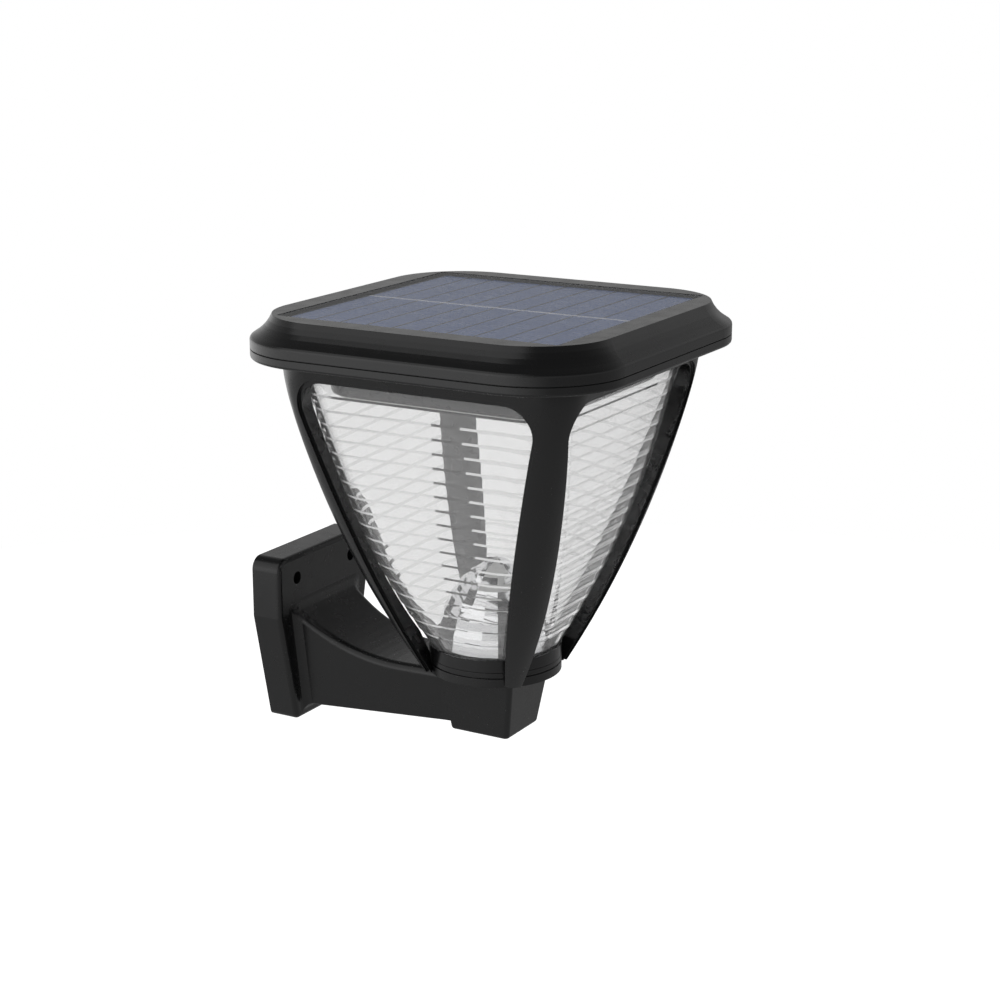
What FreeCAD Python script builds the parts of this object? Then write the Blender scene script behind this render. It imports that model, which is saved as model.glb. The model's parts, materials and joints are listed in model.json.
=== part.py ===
import FreeCAD, Part
import math
import os

# Solar fence light on a wall bracket.  Millimetres, +Z up.
# The origin is the middle of the two wall screws, on the wall plane y = 0.
# The lamp stands out from the wall towards -Y, its axis upright at x = 0.
# Heights in the lamp are given as depths below the flat top of the cap.

V = FreeCAD.Vector

# ---------------------------------------------------------------- driving dimensions
HEAD_OUT = 93.0             # lamp axis to the wall
BLOCK_FOOT_DROP = 53.3      # underside of the lamp's block below the wall screws

# cap
CAP_HALF = 75.0             # half of the cap's widest side
CAP_CORNER_R = 34.0         # corner radius at the widest side
CAP_TOP_CORNER_R = 29.5     # corner radius of the flat top
BEVEL_RUN = 7.2             # width of the sloping roof edge
BEVEL_DROP = 8.2            # height of the sloping roof edge
BEVEL_HOLLOW = 1.0          # how far the slope is hollowed below a straight line
CAP_EDGE_ROUND = 0.9        # rounding where the slope meets the upright band
SEAM_DEPTH = 12.2           # lower edge of the upper shell
SEAM_GAP = 0.4              # gap between the shells, filled by the gasket
SEAM_INSET = 0.7            # gasket edge behind the shells' faces
CAP_DEPTH = 16.0            # underside of the lower shell
CAP_FOOT_ROUND = 1.0
SHELL_WALL = 2.5
FLOOR_THICK = 2.2
FLOOR_OPENING_INSET = 4.5   # opening above the LED housing, inside the housing's screws
FLOOR_OPENING_R = 4.0
LIP_THICK = 1.4             # upstand of the lower shell inside the upper shell
LIP_HEIGHT = 3.4
LIP_CLEARANCE = 0.2
CAP_BOSS_R = 3.4
CAP_BOSS_GAP = 0.3          # between the bosses of the two shells

# solar panel
PANEL_BORDER = 9.8          # width of the flat top round the panel
PANEL_GAP = 0.35            # gap around the panel in its recess
PANEL_THICK = 3.4
PANEL_CORNER_R = 1.0
GLAZE_INSET = 0.1           # glaze below the cap's flat top
GLAZE_THICK = 0.9
CELL_THICK = 0.25
CELL_BORDER = 2.0           # panel's edge round the cells
CELL_COUNT = 10
CELL_GAP = 0.35
RIBBON_WIDTH = 1.3
RIBBON_THICK = 0.1
JOINT_R = 1.1
RECESS_FLOOR = 2.0          # roof thickness under the panel
LEAD_HOLE_R = 2.4

# cage
CAGE_TOP_CORNER_R = 20.0
CAGE_LEG_CORNER_R = 12.0
CAGE_FOOT_CORNER_R = 8.0
CAGE_TOP_FADE = 0.09        # share of the height over which the top corner radius fades
CAGE_FOOT_POWER = 8         # how late the corner radius falls to that of the feet
CAP_OVERHANG = 12.3         # cap past the cage's top ring
CAGE_FOOT_HALF = 22.6       # half across the flats at the leg feet
BULGE = 4.7                 # how far cage and lens bow out from a straight taper
BULGE_SKEW = 0.33           # moves the fullest place of the bow downwards
BULGE_SECTIONS = 9
LEG_FOOT_UP = 0.7           # lower ends of the legs above the collar's underside
NECK_GASKET_THICK = 1.0
NECK_GASKET_LAP = 4.5       # seal's inner edge inside the lens's outer face
NECK_GASKET_INSET = 1.2
WINDOW_TOP_DROP = 6.0      # window's upper edge below the cage's top
WINDOW_TOP_POST = 11.2      # cage left beside a window's upper edge
WINDOW_FOOT_POST = 6.2      # cage left beside a window at the leg feet
WINDOW_CORNER_R = 10.0
WINDOW_LIP_WIDTH = 1.6      # stepped edge round each window
WINDOW_LIP_DEPTH = 1.2

# lens
LENS_TOP_INSET = 5.7        # lens inside the cage's top ring
LENS_TOP_CORNER_R = 15.0
LENS_FOOT_R = 24.0
LENS_WALL = 2.0
LENS_CLEARANCE = 0.4        # lens to cage
LENS_FOOT_FLAT = 0.4        # the last flat left at the almost round foot
RIB_START_DROP = 7.0        # first step below the lens's top
RIB_PITCH = 5.6
RIB_LEDGE_HEIGHT = 1.1
RIB_STEP = 0.6              # how far each ledge cuts in

# hoop and collar
COLLAR_R = 25.8
HOOP_HEIGHT = 4.7
HOOP_LEDGE_THICK = 2.9      # ledge under the lens's foot
HOOP_LEDGE_R = 19.0         # opening in the hoop's ledge
LENS_GASKET_THICK = 0.5
COLLAR_GAP = 0.15
COLLAR_HEIGHT = 5.75
COLLAR_FLOOR_THICK = 3.0
COLLAR_DISH_R = 17.5
COLLAR_LEG_CLEARANCE = 0.3
GROOVE_UP = 3.6             # groove above the collar's underside
GROOVE_WIDTH = 0.5
GROOVE_CUT = 0.7
COLLAR_SCREW_AT = 21.6
COLLAR_SCREW_COUNT = 3

# cone reflector
CONE_HEIGHT = 32.7
CONE_SHOULDER_R = 14.0
CONE_SHOULDER_DROP = 10.1   # shoulder below the apex
CONE_FLANGE_THICK = 1.0
CONE_WALL = 1.2
CONE_STEM_R = 3.2
CONE_CLEARANCE = 0.3        # flange inside the lens foot

# bayonet between lamp and block
SPIGOT_R = 10.5
SPIGOT_BORE_R = 7.5
SPIGOT_LENGTH = 9.6
BAYONET_CLEARANCE = 0.3
LUG_R = 13.0
LUG_HEIGHT = 2.6
LUG_DROP = 5.0              # lug top below the collar's underside
LUG_COUNT = 3
LUG_ANGLE = 34.0            # arc of a lug, degrees
TWIST_ANGLE = 30.0          # turn from locked to free, degrees
STOP_ANGLE = 3.0            # play of a lug against its stops, degrees
SOCKET_FLOOR_GAP = 0.6

# base block
BLOCK_TOP_HALF = 16.0
BLOCK_FOOT_HALF = 12.3
BLOCK_FOOT_DEPTH = 166.8    # underside of the block below the cap's top
BLOCK_HEIGHT = 24.5
BLOCK_EDGE_R = 2.0
BLOCK_FOOT_ROUND = 1.2
HEAD_GAP = 0.3              # collar underside above the block

# bracket
PLATE_THICK = 13.0
PLATE_TOP_UP = 9.5          # above the wall screws
PLATE_KINK_DROP = 14.5      # where the sides turn inwards, below the wall screws
PLATE_FOOT_DROP = 59.3      # below the wall screws
PLATE_TOP_HALF = 31.0
PLATE_FOOT_HALF = 21.2
PLATE_CORNER_R = 5.0
PLATE_FOOT_CORNER_R = 2.5
PLATE_EDGE_ROUND = 1.8
BRACKET_WALL = 2.6
ARM_CURVE_R = 72.0          # hollow curve of the arm's top
ARM_CURVE_RUN = 46.0        # how far that curve reaches out from the plate
ARM_END_UP = 3.4            # arm underside at the block, above the block's
ARM_ROOT_DROP = 0.8         # arm underside at the plate, below the block's
ARM_FLARE = 3.3             # how much wider each side of the arm is at the plate
ARM_TOP_ROUND = 2.8
ARM_FOOT_ROUND = 0.8
ARM_COVE = 3.2              # cove between arm and plate
ARM_END_WALL = 3.0
ARM_STEP = 4.0              # spacing of the arm's sections
ARM_SCREW_FOOT_GAP = 1.0    # screw heads to the floor of the arm's hollow
ARM_SCREW_SIDE_GAP = 2.4    # screw heads to its sides
ARM_SCREW_LENGTH = 12.0
WALL_SCREW_SPACING = 38.0
WALL_SCREW_R = 2.5
BOSS_R = 5.2
RIB_THICK = 2.4
SIDE_RIB_DROP = 32.5        # level rib below the wall screws

# LED housing and its contents
HOUSING_INSET = 9.0         # housing inside the lens's top
HOUSING_CORNER_R = 14.0
HOUSING_WALL = 2.0
HOUSING_FLOOR = 1.8
HOUSING_FOOT_ROUND = 1.6
HOUSING_BOSS_INSET = 7.5
HOUSING_BOSS_R = 3.8
LIGHT_OPENING_INSET = 10.0  # edge left round the light opening
LIGHT_OPENING_R = 6.0
COVER_THICK = 0.9
COVER_INSET = 2.5
TRAY_THICK = 1.5
TRAY_CLEARANCE = 0.5
RAIL_WIDTH = 4.5
RAIL_HALF_LENGTH = 25.0
TRAY_SCREW_AT = 18.0
LED_BOARD_GAP = 2.0         # board inside the light opening
LED_BOARD_THICK = 1.2
LED_BOARD_SCREW_INSET = 4.0
LED_SIZE = 3.5
LED_THICK = 0.8
LED_GAP = 0.4               # LEDs to the housing's floor
LED_COLUMNS = 4
LED_ROWS = 3
LED_PITCH = 16.0
BATTERY_R = 9.2
BATTERY_END_GAP = 3.5       # cell's ends inside the floor opening
BATTERY_ROOF_GAP = 0.8      # cell to the roof
BATTERY_Y = 18.0            # cell axis, towards the wall from the lamp axis
BATTERY_GAP = 0.2
CRADLE_WALL = 2.0
CRADLE_HEIGHT = 8.0
CONTACT_THICK = 0.4
CONTACT_SIZE = 11.0
BOARD_END_GAP = 10.0        # board's ends inside the floor opening
BOARD_WIDTH = 26.0
BOARD_THICK = 1.6
BOARD_Y = -22.0
BOARD_SCREW_INSET = 4.0
POST_HEIGHT = 3.5
POST_R = 2.8
SOCKET_LENGTH = 8.0         # plug socket on the control board
SOCKET_WIDTH = 5.0
SOCKET_HEIGHT = 6.0
COIL_R = 4.5
COIL_HEIGHT = 5.0
COIL_X = 14.0
CAPACITOR_R = 3.1
CAPACITOR_HEIGHT = 7.0
CAPACITOR_X = -15.0
CHIP_LENGTH = 7.0
CHIP_WIDTH = 5.0
CHIP_HEIGHT = 1.5
CHIP_Y = -29.0
WIRE_R = 0.8
WIRE_SPACING = 2.4
LED_LEAD_X = 14.0
SWITCH_LEAD_X = -7.0
SWITCH_LEAD_GAP = 4.0       # lead inside the floor opening
SWITCH_LEAD_BEND = 4.0

# mode button
BUTTON_INSET = 8.0          # button axis behind the cap's front
BUTTON_R = 2.8
BUTTON_CLEARANCE = 0.25
BUTTON_PROUD = 1.3
BUTTON_ROUND = 0.5
BUTTON_FLANGE_R = 3.7
BUTTON_FLANGE_THICK = 0.9
BUTTON_TRAVEL = 1.0
SEAL_THICK = 0.4
SWITCH_GAP = 0.1            # button top to plunger when pushed home
PLUNGER_R = 1.6
PLUNGER_HEIGHT = 0.5
SWITCH_HALF = 3.0
SWITCH_HEIGHT = 1.5
SWITCH_BOARD_HALF = 11.0
SWITCH_BOARD_AHEAD = 3.2    # board's front edge ahead of the button axis
SWITCH_BOARD_BEHIND = 4.2
SWITCH_BOARD_THICK = 1.0
SWITCH_SCREW_AT = 8.4
SWITCH_POST_R = 2.2

# screws
SCREW_CLEARANCE = 0.05      # screws in their holes
SMALL_SHANK_R = 1.0
SMALL_HEAD_R = 2.0
SMALL_HEAD_H = 1.2
MAIN_SHANK_R = 1.4
MAIN_HEAD_R = 2.7
MAIN_HEAD_H = 1.9
HEAD_ROUND = 0.5
CROSS_WIDTH = 0.7
CROSS_DEPTH = 0.8
CROSS_SHARE = 0.6           # reach of the cross in the head, as a share of its radius
COUNTERBORE_GAP = 0.2
CAP_SCREW_INSET = 15.0      # cap screws inside the cap's sides
CAP_SCREW_LENGTH = 7.0
CAGE_SCREW_INSET = 8.2      # cage screws inside the top ring's sides
CAGE_SCREW_LENGTH = 11.0
HOUSING_SCREW_LENGTH = 9.0
TRAY_SCREW_LENGTH = 3.6
LED_BOARD_SCREW_LENGTH = 2.5
BOARD_SCREW_LENGTH = 4.6
SWITCH_SCREW_LENGTH = 4.5
COLLAR_SCREW_LENGTH = 6.6
REFLECTOR_SCREW_LENGTH = 10.0

OVERCUT = 1.0               # how far cutting shapes run past what they cut
FIRST_ANGLE = 90.0          # first of the places round a circle, towards the wall, degrees

# ---------------------------------------------------------------- worked-out sizes
HEAD_Y = -HEAD_OUT
CAP_TOP_Z = BLOCK_FOOT_DEPTH - BLOCK_FOOT_DROP
CAP_TOP_HALF = CAP_HALF - BEVEL_RUN
PANEL_HALF = CAP_TOP_HALF - PANEL_BORDER
CELL_FIELD_HALF = PANEL_HALF - CELL_BORDER
RECESS_HALF = PANEL_HALF + PANEL_GAP
ROOF_UNDER_DEPTH = PANEL_THICK + RECESS_FLOOR
FLOOR_TOP_DEPTH = CAP_DEPTH - FLOOR_THICK
CAP_INNER_HALF = CAP_HALF - SHELL_WALL
CAP_INNER_R = CAP_CORNER_R - SHELL_WALL
SHELL_TOP_DEPTH = SEAM_DEPTH + SEAM_GAP
CAP_SCREW_AT = CAP_HALF - CAP_SCREW_INSET
CAP_SCREW_SEAT = CAP_DEPTH - MAIN_HEAD_H - COUNTERBORE_GAP
UPPER_BOSS_FOOT = SEAM_DEPTH - CAP_BOSS_GAP
LOWER_BOSS_TOP = SEAM_DEPTH

BLOCK_TOP_DEPTH = BLOCK_FOOT_DEPTH - BLOCK_HEIGHT
COLLAR_FOOT_DEPTH = BLOCK_TOP_DEPTH - HEAD_GAP
COLLAR_TOP_DEPTH = COLLAR_FOOT_DEPTH - COLLAR_HEIGHT
COLLAR_FLOOR_DEPTH = COLLAR_FOOT_DEPTH - COLLAR_FLOOR_THICK
GROOVE_DEPTH = COLLAR_FOOT_DEPTH - GROOVE_UP
HOOP_FOOT_DEPTH = COLLAR_TOP_DEPTH - COLLAR_GAP
HOOP_TOP_DEPTH = HOOP_FOOT_DEPTH - HOOP_HEIGHT
HOOP_LEDGE_DEPTH = HOOP_FOOT_DEPTH - HOOP_LEDGE_THICK
CONE_APEX_DEPTH = HOOP_LEDGE_DEPTH - CONE_HEIGHT
CONE_SHOULDER_DEPTH = CONE_APEX_DEPTH + CONE_SHOULDER_DROP

CAGE_TOP_HALF = CAP_HALF - CAP_OVERHANG
CAGE_TOP_DEPTH = CAP_DEPTH + NECK_GASKET_THICK
CAGE_FOOT_DEPTH = COLLAR_FOOT_DEPTH - LEG_FOOT_UP
CAGE_SCREW_AT = CAGE_TOP_HALF - CAGE_SCREW_INSET
WINDOW_TOP_DEPTH = CAGE_TOP_DEPTH + WINDOW_TOP_DROP
WINDOW_TOP_HALF = CAGE_TOP_HALF - WINDOW_TOP_POST
WINDOW_FOOT_HALF = CAGE_FOOT_HALF - WINDOW_FOOT_POST
LENS_TOP_HALF = CAGE_TOP_HALF - LENS_TOP_INSET
LENS_FOOT_DEPTH = HOOP_LEDGE_DEPTH - LENS_GASKET_THICK
NECK_GASKET_INNER = LENS_TOP_HALF - NECK_GASKET_LAP
RIB_START_DEPTH = CAGE_TOP_DEPTH + RIB_START_DROP
RIB_COUNT = int((LENS_FOOT_DEPTH - RIB_START_DEPTH) / RIB_PITCH)

HOUSING_HALF = LENS_TOP_HALF - HOUSING_INSET
HOUSING_BOSS_AT = HOUSING_HALF - HOUSING_BOSS_INSET
HOUSING_INNER = HOUSING_HALF - HOUSING_WALL
HOUSING_INNER_R = HOUSING_CORNER_R - HOUSING_WALL
FLOOR_OPENING_HALF = HOUSING_BOSS_AT - FLOOR_OPENING_INSET
LIGHT_OPENING_HALF = HOUSING_HALF - LIGHT_OPENING_INSET
BATTERY_LENGTH = 2.0 * (FLOOR_OPENING_HALF - BATTERY_END_GAP)
BATTERY_DEPTH = ROOF_UNDER_DEPTH + BATTERY_ROOF_GAP + BATTERY_R
TRAY_TOP_DEPTH = BATTERY_DEPTH + BATTERY_R + BATTERY_GAP
TRAY_FOOT_DEPTH = TRAY_TOP_DEPTH + TRAY_THICK
LED_BOARD_HALF = LIGHT_OPENING_HALF - LED_BOARD_GAP
LED_BOARD_SCREW_AT = LED_BOARD_HALF - LED_BOARD_SCREW_INSET
LED_BOARD_FOOT_DEPTH = TRAY_FOOT_DEPTH + LED_BOARD_THICK
HOUSING_FLOOR_DEPTH = LED_BOARD_FOOT_DEPTH + LED_THICK + LED_GAP
HOUSING_DEPTH = HOUSING_FLOOR_DEPTH + HOUSING_FLOOR
BOARD_LENGTH = 2.0 * (FLOOR_OPENING_HALF - BOARD_END_GAP)
BOARD_FOOT_DEPTH = TRAY_TOP_DEPTH - POST_HEIGHT
BOARD_TOP_DEPTH = BOARD_FOOT_DEPTH - BOARD_THICK

BUTTON_OUT = CAP_HALF - BUTTON_INSET
BUTTON_TOP_DEPTH = FLOOR_TOP_DEPTH - SEAL_THICK - BUTTON_FLANGE_THICK
PLUNGER_FOOT_DEPTH = BUTTON_TOP_DEPTH - BUTTON_TRAVEL - SWITCH_GAP
SWITCH_FOOT_DEPTH = PLUNGER_FOOT_DEPTH - PLUNGER_HEIGHT
SWITCH_BOARD_FOOT_DEPTH = SWITCH_FOOT_DEPTH - SWITCH_HEIGHT
SWITCH_BOARD_TOP_DEPTH = SWITCH_BOARD_FOOT_DEPTH - SWITCH_BOARD_THICK
SWITCH_BOARD_FRONT = BUTTON_OUT + SWITCH_BOARD_AHEAD
SWITCH_BOARD_BACK = BUTTON_OUT - SWITCH_BOARD_BEHIND
SWITCH_SCREW_Y = -(SWITCH_BOARD_FRONT + SWITCH_BOARD_BACK) / 2.0
SWITCH_LEAD_DROP_Y = -(FLOOR_OPENING_HALF - SWITCH_LEAD_GAP)

PLATE_FRONT = HEAD_OUT - PLATE_THICK
PLATE_TOP_DEPTH = CAP_TOP_Z - PLATE_TOP_UP
PLATE_KINK_DEPTH = CAP_TOP_Z + PLATE_KINK_DROP
PLATE_FOOT_DEPTH = CAP_TOP_Z + PLATE_FOOT_DROP
SIDE_RIB_DEPTH = CAP_TOP_Z + SIDE_RIB_DROP
ARM_CURVE_START = PLATE_FRONT - ARM_CURVE_RUN
ARM_END_DEPTH = BLOCK_FOOT_DEPTH - ARM_END_UP
ARM_ROOT_DEPTH = BLOCK_FOOT_DEPTH + ARM_ROOT_DROP
ARM_SCREW_SEAT = BLOCK_TOP_HALF + ARM_END_WALL


def height(depth):
    """Z of a depth below the cap's top."""
    return CAP_TOP_Z - depth


def between(start, end, share):
    return start + (end - start) * share


# ---------------------------------------------------------------- building blocks
def rounded_square(half, radius, depth):
    """Level wire of a square with rounded corners, centred on the lamp axis."""
    centre = V(0, HEAD_Y, height(depth))
    straight = half - radius
    turn = straight + radius / math.sqrt(2.0)
    edges = []
    for quarter in range(4):
        angle = math.radians(90.0 * quarter)
        out = V(math.cos(angle), math.sin(angle), 0)
        side = V(-math.sin(angle), math.cos(angle), 0)
        side_start = centre + out * half - side * straight
        side_end = centre + out * half + side * straight
        arc_mid = centre + (out + side) * turn
        arc_end = centre + out * straight + side * half
        edges.append(Part.LineSegment(side_start, side_end).toShape())
        edges.append(Part.Arc(side_end, arc_mid, arc_end).toShape())
    return Part.Wire(edges)


def square_loft(sections, ruled=True):
    """Solid through rounded squares, each given as (depth, half, radius)."""
    wires = [rounded_square(half, radius, depth) for depth, half, radius in sections]
    return Part.makeLoft(wires, True, ruled)


def square_block(half, radius, top, foot):
    """Upright block with rounded corners between two depths."""
    face = Part.Face(rounded_square(half, radius, foot))
    return face.extrude(V(0, 0, foot - top))


def rounded_foot(depth, half, radius, foot_round):
    """Sections that round the lower outer edge of a rounded square."""
    sections = []
    for degrees in (0.0, 30.0, 60.0, 90.0):
        angle = math.radians(degrees)
        inward = foot_round * (1.0 - math.cos(angle))
        level = depth - foot_round * (1.0 - math.sin(angle))
        sections.append((level, half - inward, radius - inward))
    return sections


def box(x0, x1, y0, y1, top, foot):
    """Box in lamp coordinates: x and y from the lamp axis, depths from the cap top."""
    return Part.makeBox(x1 - x0, y1 - y0, foot - top, V(x0, HEAD_Y + y0, height(foot)))


def disc(radius, top, foot, x=0.0, y=0.0):
    """Upright cylinder between two depths, x and y from the lamp axis."""
    return Part.makeCylinder(radius, foot - top, V(x, HEAD_Y + y, height(foot)))


def ring(outer, inner, top, foot, x=0.0, y=0.0):
    return disc(outer, top, foot, x, y).cut(disc(inner, top, foot, x, y))


def sector(outer, inner, top, foot, middle, span):
    """Part of a ring; middle and span are angles about the lamp axis, in degrees."""
    base = V(0, HEAD_Y, height(foot))
    pie = Part.makeCylinder(outer, foot - top, base, V(0, 0, 1), span)
    pie.rotate(base, V(0, 0, 1), middle - span / 2.0)
    return pie.cut(disc(inner, top, foot))


def join(solids):
    """One clean solid from overlapping or touching ones."""
    return solids[0].fuse(solids[1:]).removeSplitter()


def group(solids):
    """Several separate solids kept together in one node."""
    return Part.makeCompound(solids)


def corners(reach_x, reach_y):
    return [(sx * reach_x, sy * reach_y) for sx in (-1, 1) for sy in (-1, 1)]


def around(radius, count):
    """Places evenly spaced on a circle about the lamp axis."""
    places = []
    for index in range(count):
        angle = math.radians(FIRST_ANGLE + 360.0 * index / count)
        places.append((radius * math.cos(angle), radius * math.sin(angle)))
    return places


def outline_wire(points, radii, place):
    """Closed wire through flat (a, b) points with rounded corners, put in space by place."""
    count = len(points)
    arcs = []
    for index in range(count):
        here = V(points[index][0], points[index][1], 0)
        before = V(points[index - 1][0], points[index - 1][1], 0) - here
        after = V(points[(index + 1) % count][0], points[(index + 1) % count][1], 0) - here
        before.normalize()
        after.normalize()
        half_angle = before.getAngle(after) / 2.0
        back = radii[index] / math.tan(half_angle)
        bisector = (before + after).normalize()
        reach = radii[index] / math.sin(half_angle) - radii[index]
        arcs.append((here + before * back, here + bisector * reach, here + after * back))
    edges = []
    for index in range(count):
        start, middle, end = arcs[index]
        if radii[index] > 0:
            edges.append(Part.Arc(place(start), place(middle), place(end)).toShape())
        following = arcs[(index + 1) % count][0]
        edges.append(Part.LineSegment(place(end), place(following)).toShape())
    return Part.Wire(edges)


def screw(base, way, length, shank_r, head_r, head_h):
    """Pan-head screw: base is the seat's centre, way the direction of its point."""
    shank = Part.makeCylinder(shank_r, length, V(0, 0, 0), V(0, 0, -1))
    head = Part.makeCylinder(head_r, head_h, V(0, 0, 0), V(0, 0, 1))
    rim = [edge for edge in head.Edges if edge.BoundBox.ZMin > head_h / 2.0]
    head = head.makeFillet(HEAD_ROUND, rim)
    body = join([shank, head])
    for turn in (0.0, 90.0):
        reach = head_r * CROSS_SHARE
        slot = Part.makeBox(2.0 * reach, CROSS_WIDTH, CROSS_DEPTH,
                            V(-reach, -CROSS_WIDTH / 2.0, head_h - CROSS_DEPTH))
        slot.rotate(V(0, 0, 0), V(0, 0, 1), turn)
        body = body.cut(slot)
    body.Placement = FreeCAD.Placement(base, FreeCAD.Rotation(V(0, 0, -1), way))
    return body


def upright_screws(places, seat, length, points_up, sizes):
    """Group of like screws along Z; seat is the depth of the surface under the heads."""
    way = V(0, 0, 1) if points_up else V(0, 0, -1)
    return group([screw(V(x, HEAD_Y + y, height(seat)), way, length, *sizes) for x, y in places])


def holes(places, radius, top, foot):
    """Like cylinders at several places: the holes of a pattern, or its bosses."""
    return [disc(radius, top, foot, x, y) for x, y in places]


def screw_holes(places, shank_r, top, foot):
    return holes(places, shank_r + SCREW_CLEARANCE, top, foot)


SMALL_SCREW = (SMALL_SHANK_R, SMALL_HEAD_R, SMALL_HEAD_H)
MAIN_SCREW = (MAIN_SHANK_R, MAIN_HEAD_R, MAIN_HEAD_H)
CAP_SCREW_PLACES = corners(CAP_SCREW_AT, CAP_SCREW_AT)
CAGE_SCREW_PLACES = corners(CAGE_SCREW_AT, CAGE_SCREW_AT)
HOUSING_SCREW_PLACES = corners(HOUSING_BOSS_AT, HOUSING_BOSS_AT)
TRAY_SCREW_PLACES = corners(HOUSING_INNER - RAIL_WIDTH / 2.0, TRAY_SCREW_AT)
LED_BOARD_SCREW_PLACES = corners(LED_BOARD_SCREW_AT, LED_BOARD_SCREW_AT)
BOARD_SCREW_PLACES = [(x, BOARD_Y + y) for x, y in corners(
    BOARD_LENGTH / 2.0 - BOARD_SCREW_INSET, BOARD_WIDTH / 2.0 - BOARD_SCREW_INSET)]
SWITCH_SCREW_PLACES = [(-SWITCH_SCREW_AT, SWITCH_SCREW_Y), (SWITCH_SCREW_AT, SWITCH_SCREW_Y)]
COLLAR_SCREW_PLACES = around(COLLAR_SCREW_AT, COLLAR_SCREW_COUNT)


# ---------------------------------------------------------------- cap
def bevel_sections():
    """Hollowed roof edge and the rounding into the upright band."""
    run = BEVEL_RUN
    slope = math.hypot(run, BEVEL_DROP)
    line = []
    for share in (0.0, 0.2, 0.4, 0.6, 0.75, 0.88):
        sag = BEVEL_HOLLOW * 4.0 * share * (1.0 - share)
        line.append((run * share - sag * BEVEL_DROP / slope, BEVEL_DROP * share + sag * run / slope))
    last = line[-1]
    end = (run, BEVEL_DROP + CAP_EDGE_ROUND)
    for share in (0.35, 0.7, 1.0):
        near = (between(last[0], run, share), between(last[1], BEVEL_DROP, share))
        far = (between(run, end[0], share), between(BEVEL_DROP, end[1], share))
        line.append((between(near[0], far[0], share), between(near[1], far[1], share)))
    sections = []
    for out, depth in line:
        radius = between(CAP_TOP_CORNER_R, CAP_CORNER_R, out / run)
        sections.append((depth, CAP_TOP_HALF + out, radius))
    return sections


def make_cap_upper_shell():
    outside = square_loft(bevel_sections() + [(SEAM_DEPTH, CAP_HALF, CAP_CORNER_R)])
    straight_from = BEVEL_DROP + SHELL_WALL * 0.6
    roof_half = CAP_TOP_HALF - SHELL_WALL / 2.0
    hollow = square_loft([
        (ROOF_UNDER_DEPTH, roof_half, CAP_TOP_CORNER_R - SHELL_WALL),
        (straight_from, CAP_INNER_HALF, CAP_INNER_R),
        (SEAM_DEPTH + OVERCUT, CAP_INNER_HALF, CAP_INNER_R)])
    bosses = holes(CAP_SCREW_PLACES, CAP_BOSS_R, 0.0, UPPER_BOSS_FOOT)
    shell = join([outside.cut(hollow)] + [boss.common(outside) for boss in bosses])
    recess = square_block(RECESS_HALF, PANEL_CORNER_R + PANEL_GAP, -OVERCUT, PANEL_THICK)
    lead_hole = disc(LEAD_HOLE_R, PANEL_THICK - OVERCUT, ROOF_UNDER_DEPTH + OVERCUT, 0.0, BOARD_Y)
    tip = CAP_SCREW_SEAT - CAP_SCREW_LENGTH - COUNTERBORE_GAP
    pilots = screw_holes(CAP_SCREW_PLACES, MAIN_SHANK_R, tip, SEAM_DEPTH + OVERCUT)
    return shell.cut([recess, lead_hole] + pilots)


def make_cap_gasket():
    outer = square_block(CAP_HALF - SEAM_INSET, CAP_CORNER_R - SEAM_INSET, SEAM_DEPTH, SHELL_TOP_DEPTH)
    inner = square_block(CAP_INNER_HALF, CAP_INNER_R, SEAM_DEPTH, SHELL_TOP_DEPTH)
    return outer.cut(inner)


def make_cap_lower_shell():
    sections = [(SHELL_TOP_DEPTH, CAP_HALF, CAP_CORNER_R)]
    sections += rounded_foot(CAP_DEPTH, CAP_HALF, CAP_CORNER_R, CAP_FOOT_ROUND)
    outside = square_loft(sections)
    hollow = square_block(CAP_INNER_HALF, CAP_INNER_R, SHELL_TOP_DEPTH - OVERCUT, FLOOR_TOP_DEPTH)
    shell = outside.cut(hollow)
    lip_half = CAP_INNER_HALF - LIP_CLEARANCE
    lip_r = CAP_INNER_R - LIP_CLEARANCE
    lip_top = FLOOR_TOP_DEPTH - LIP_HEIGHT
    lip = square_block(lip_half, lip_r, lip_top, CAP_DEPTH - FLOOR_THICK / 2.0)
    lip = lip.cut(square_block(lip_half - LIP_THICK, lip_r - LIP_THICK, lip_top, CAP_DEPTH))
    lip = lip.cut(holes(CAP_SCREW_PLACES, CAP_BOSS_R + CAP_BOSS_GAP, lip_top, LOWER_BOSS_TOP))
    bosses = holes(CAP_SCREW_PLACES, CAP_BOSS_R, LOWER_BOSS_TOP, CAP_DEPTH - FLOOR_THICK / 2.0)
    posts = holes(SWITCH_SCREW_PLACES, SWITCH_POST_R, SWITCH_BOARD_FOOT_DEPTH,
                  CAP_DEPTH - FLOOR_THICK / 2.0)
    shell = join([shell, lip] + bosses + posts)
    below = CAP_DEPTH + OVERCUT
    cuts = [square_block(FLOOR_OPENING_HALF, FLOOR_OPENING_R, FLOOR_TOP_DEPTH - OVERCUT, below)]
    cuts.append(disc(BUTTON_R + BUTTON_CLEARANCE, FLOOR_TOP_DEPTH - OVERCUT, below, 0.0, -BUTTON_OUT))
    cuts += screw_holes(CAP_SCREW_PLACES, MAIN_SHANK_R, LOWER_BOSS_TOP - OVERCUT, below)
    cuts += holes(CAP_SCREW_PLACES, MAIN_HEAD_R + COUNTERBORE_GAP, CAP_SCREW_SEAT, below)
    cuts += screw_holes(CAGE_SCREW_PLACES, MAIN_SHANK_R, FLOOR_TOP_DEPTH - OVERCUT, below)
    cuts += screw_holes(HOUSING_SCREW_PLACES, MAIN_SHANK_R, FLOOR_TOP_DEPTH - OVERCUT, below)
    post_foot = SWITCH_BOARD_TOP_DEPTH + SWITCH_SCREW_LENGTH + COUNTERBORE_GAP
    cuts += screw_holes(SWITCH_SCREW_PLACES, SMALL_SHANK_R, SWITCH_BOARD_TOP_DEPTH, post_foot)
    return shell.cut(cuts)


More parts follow.
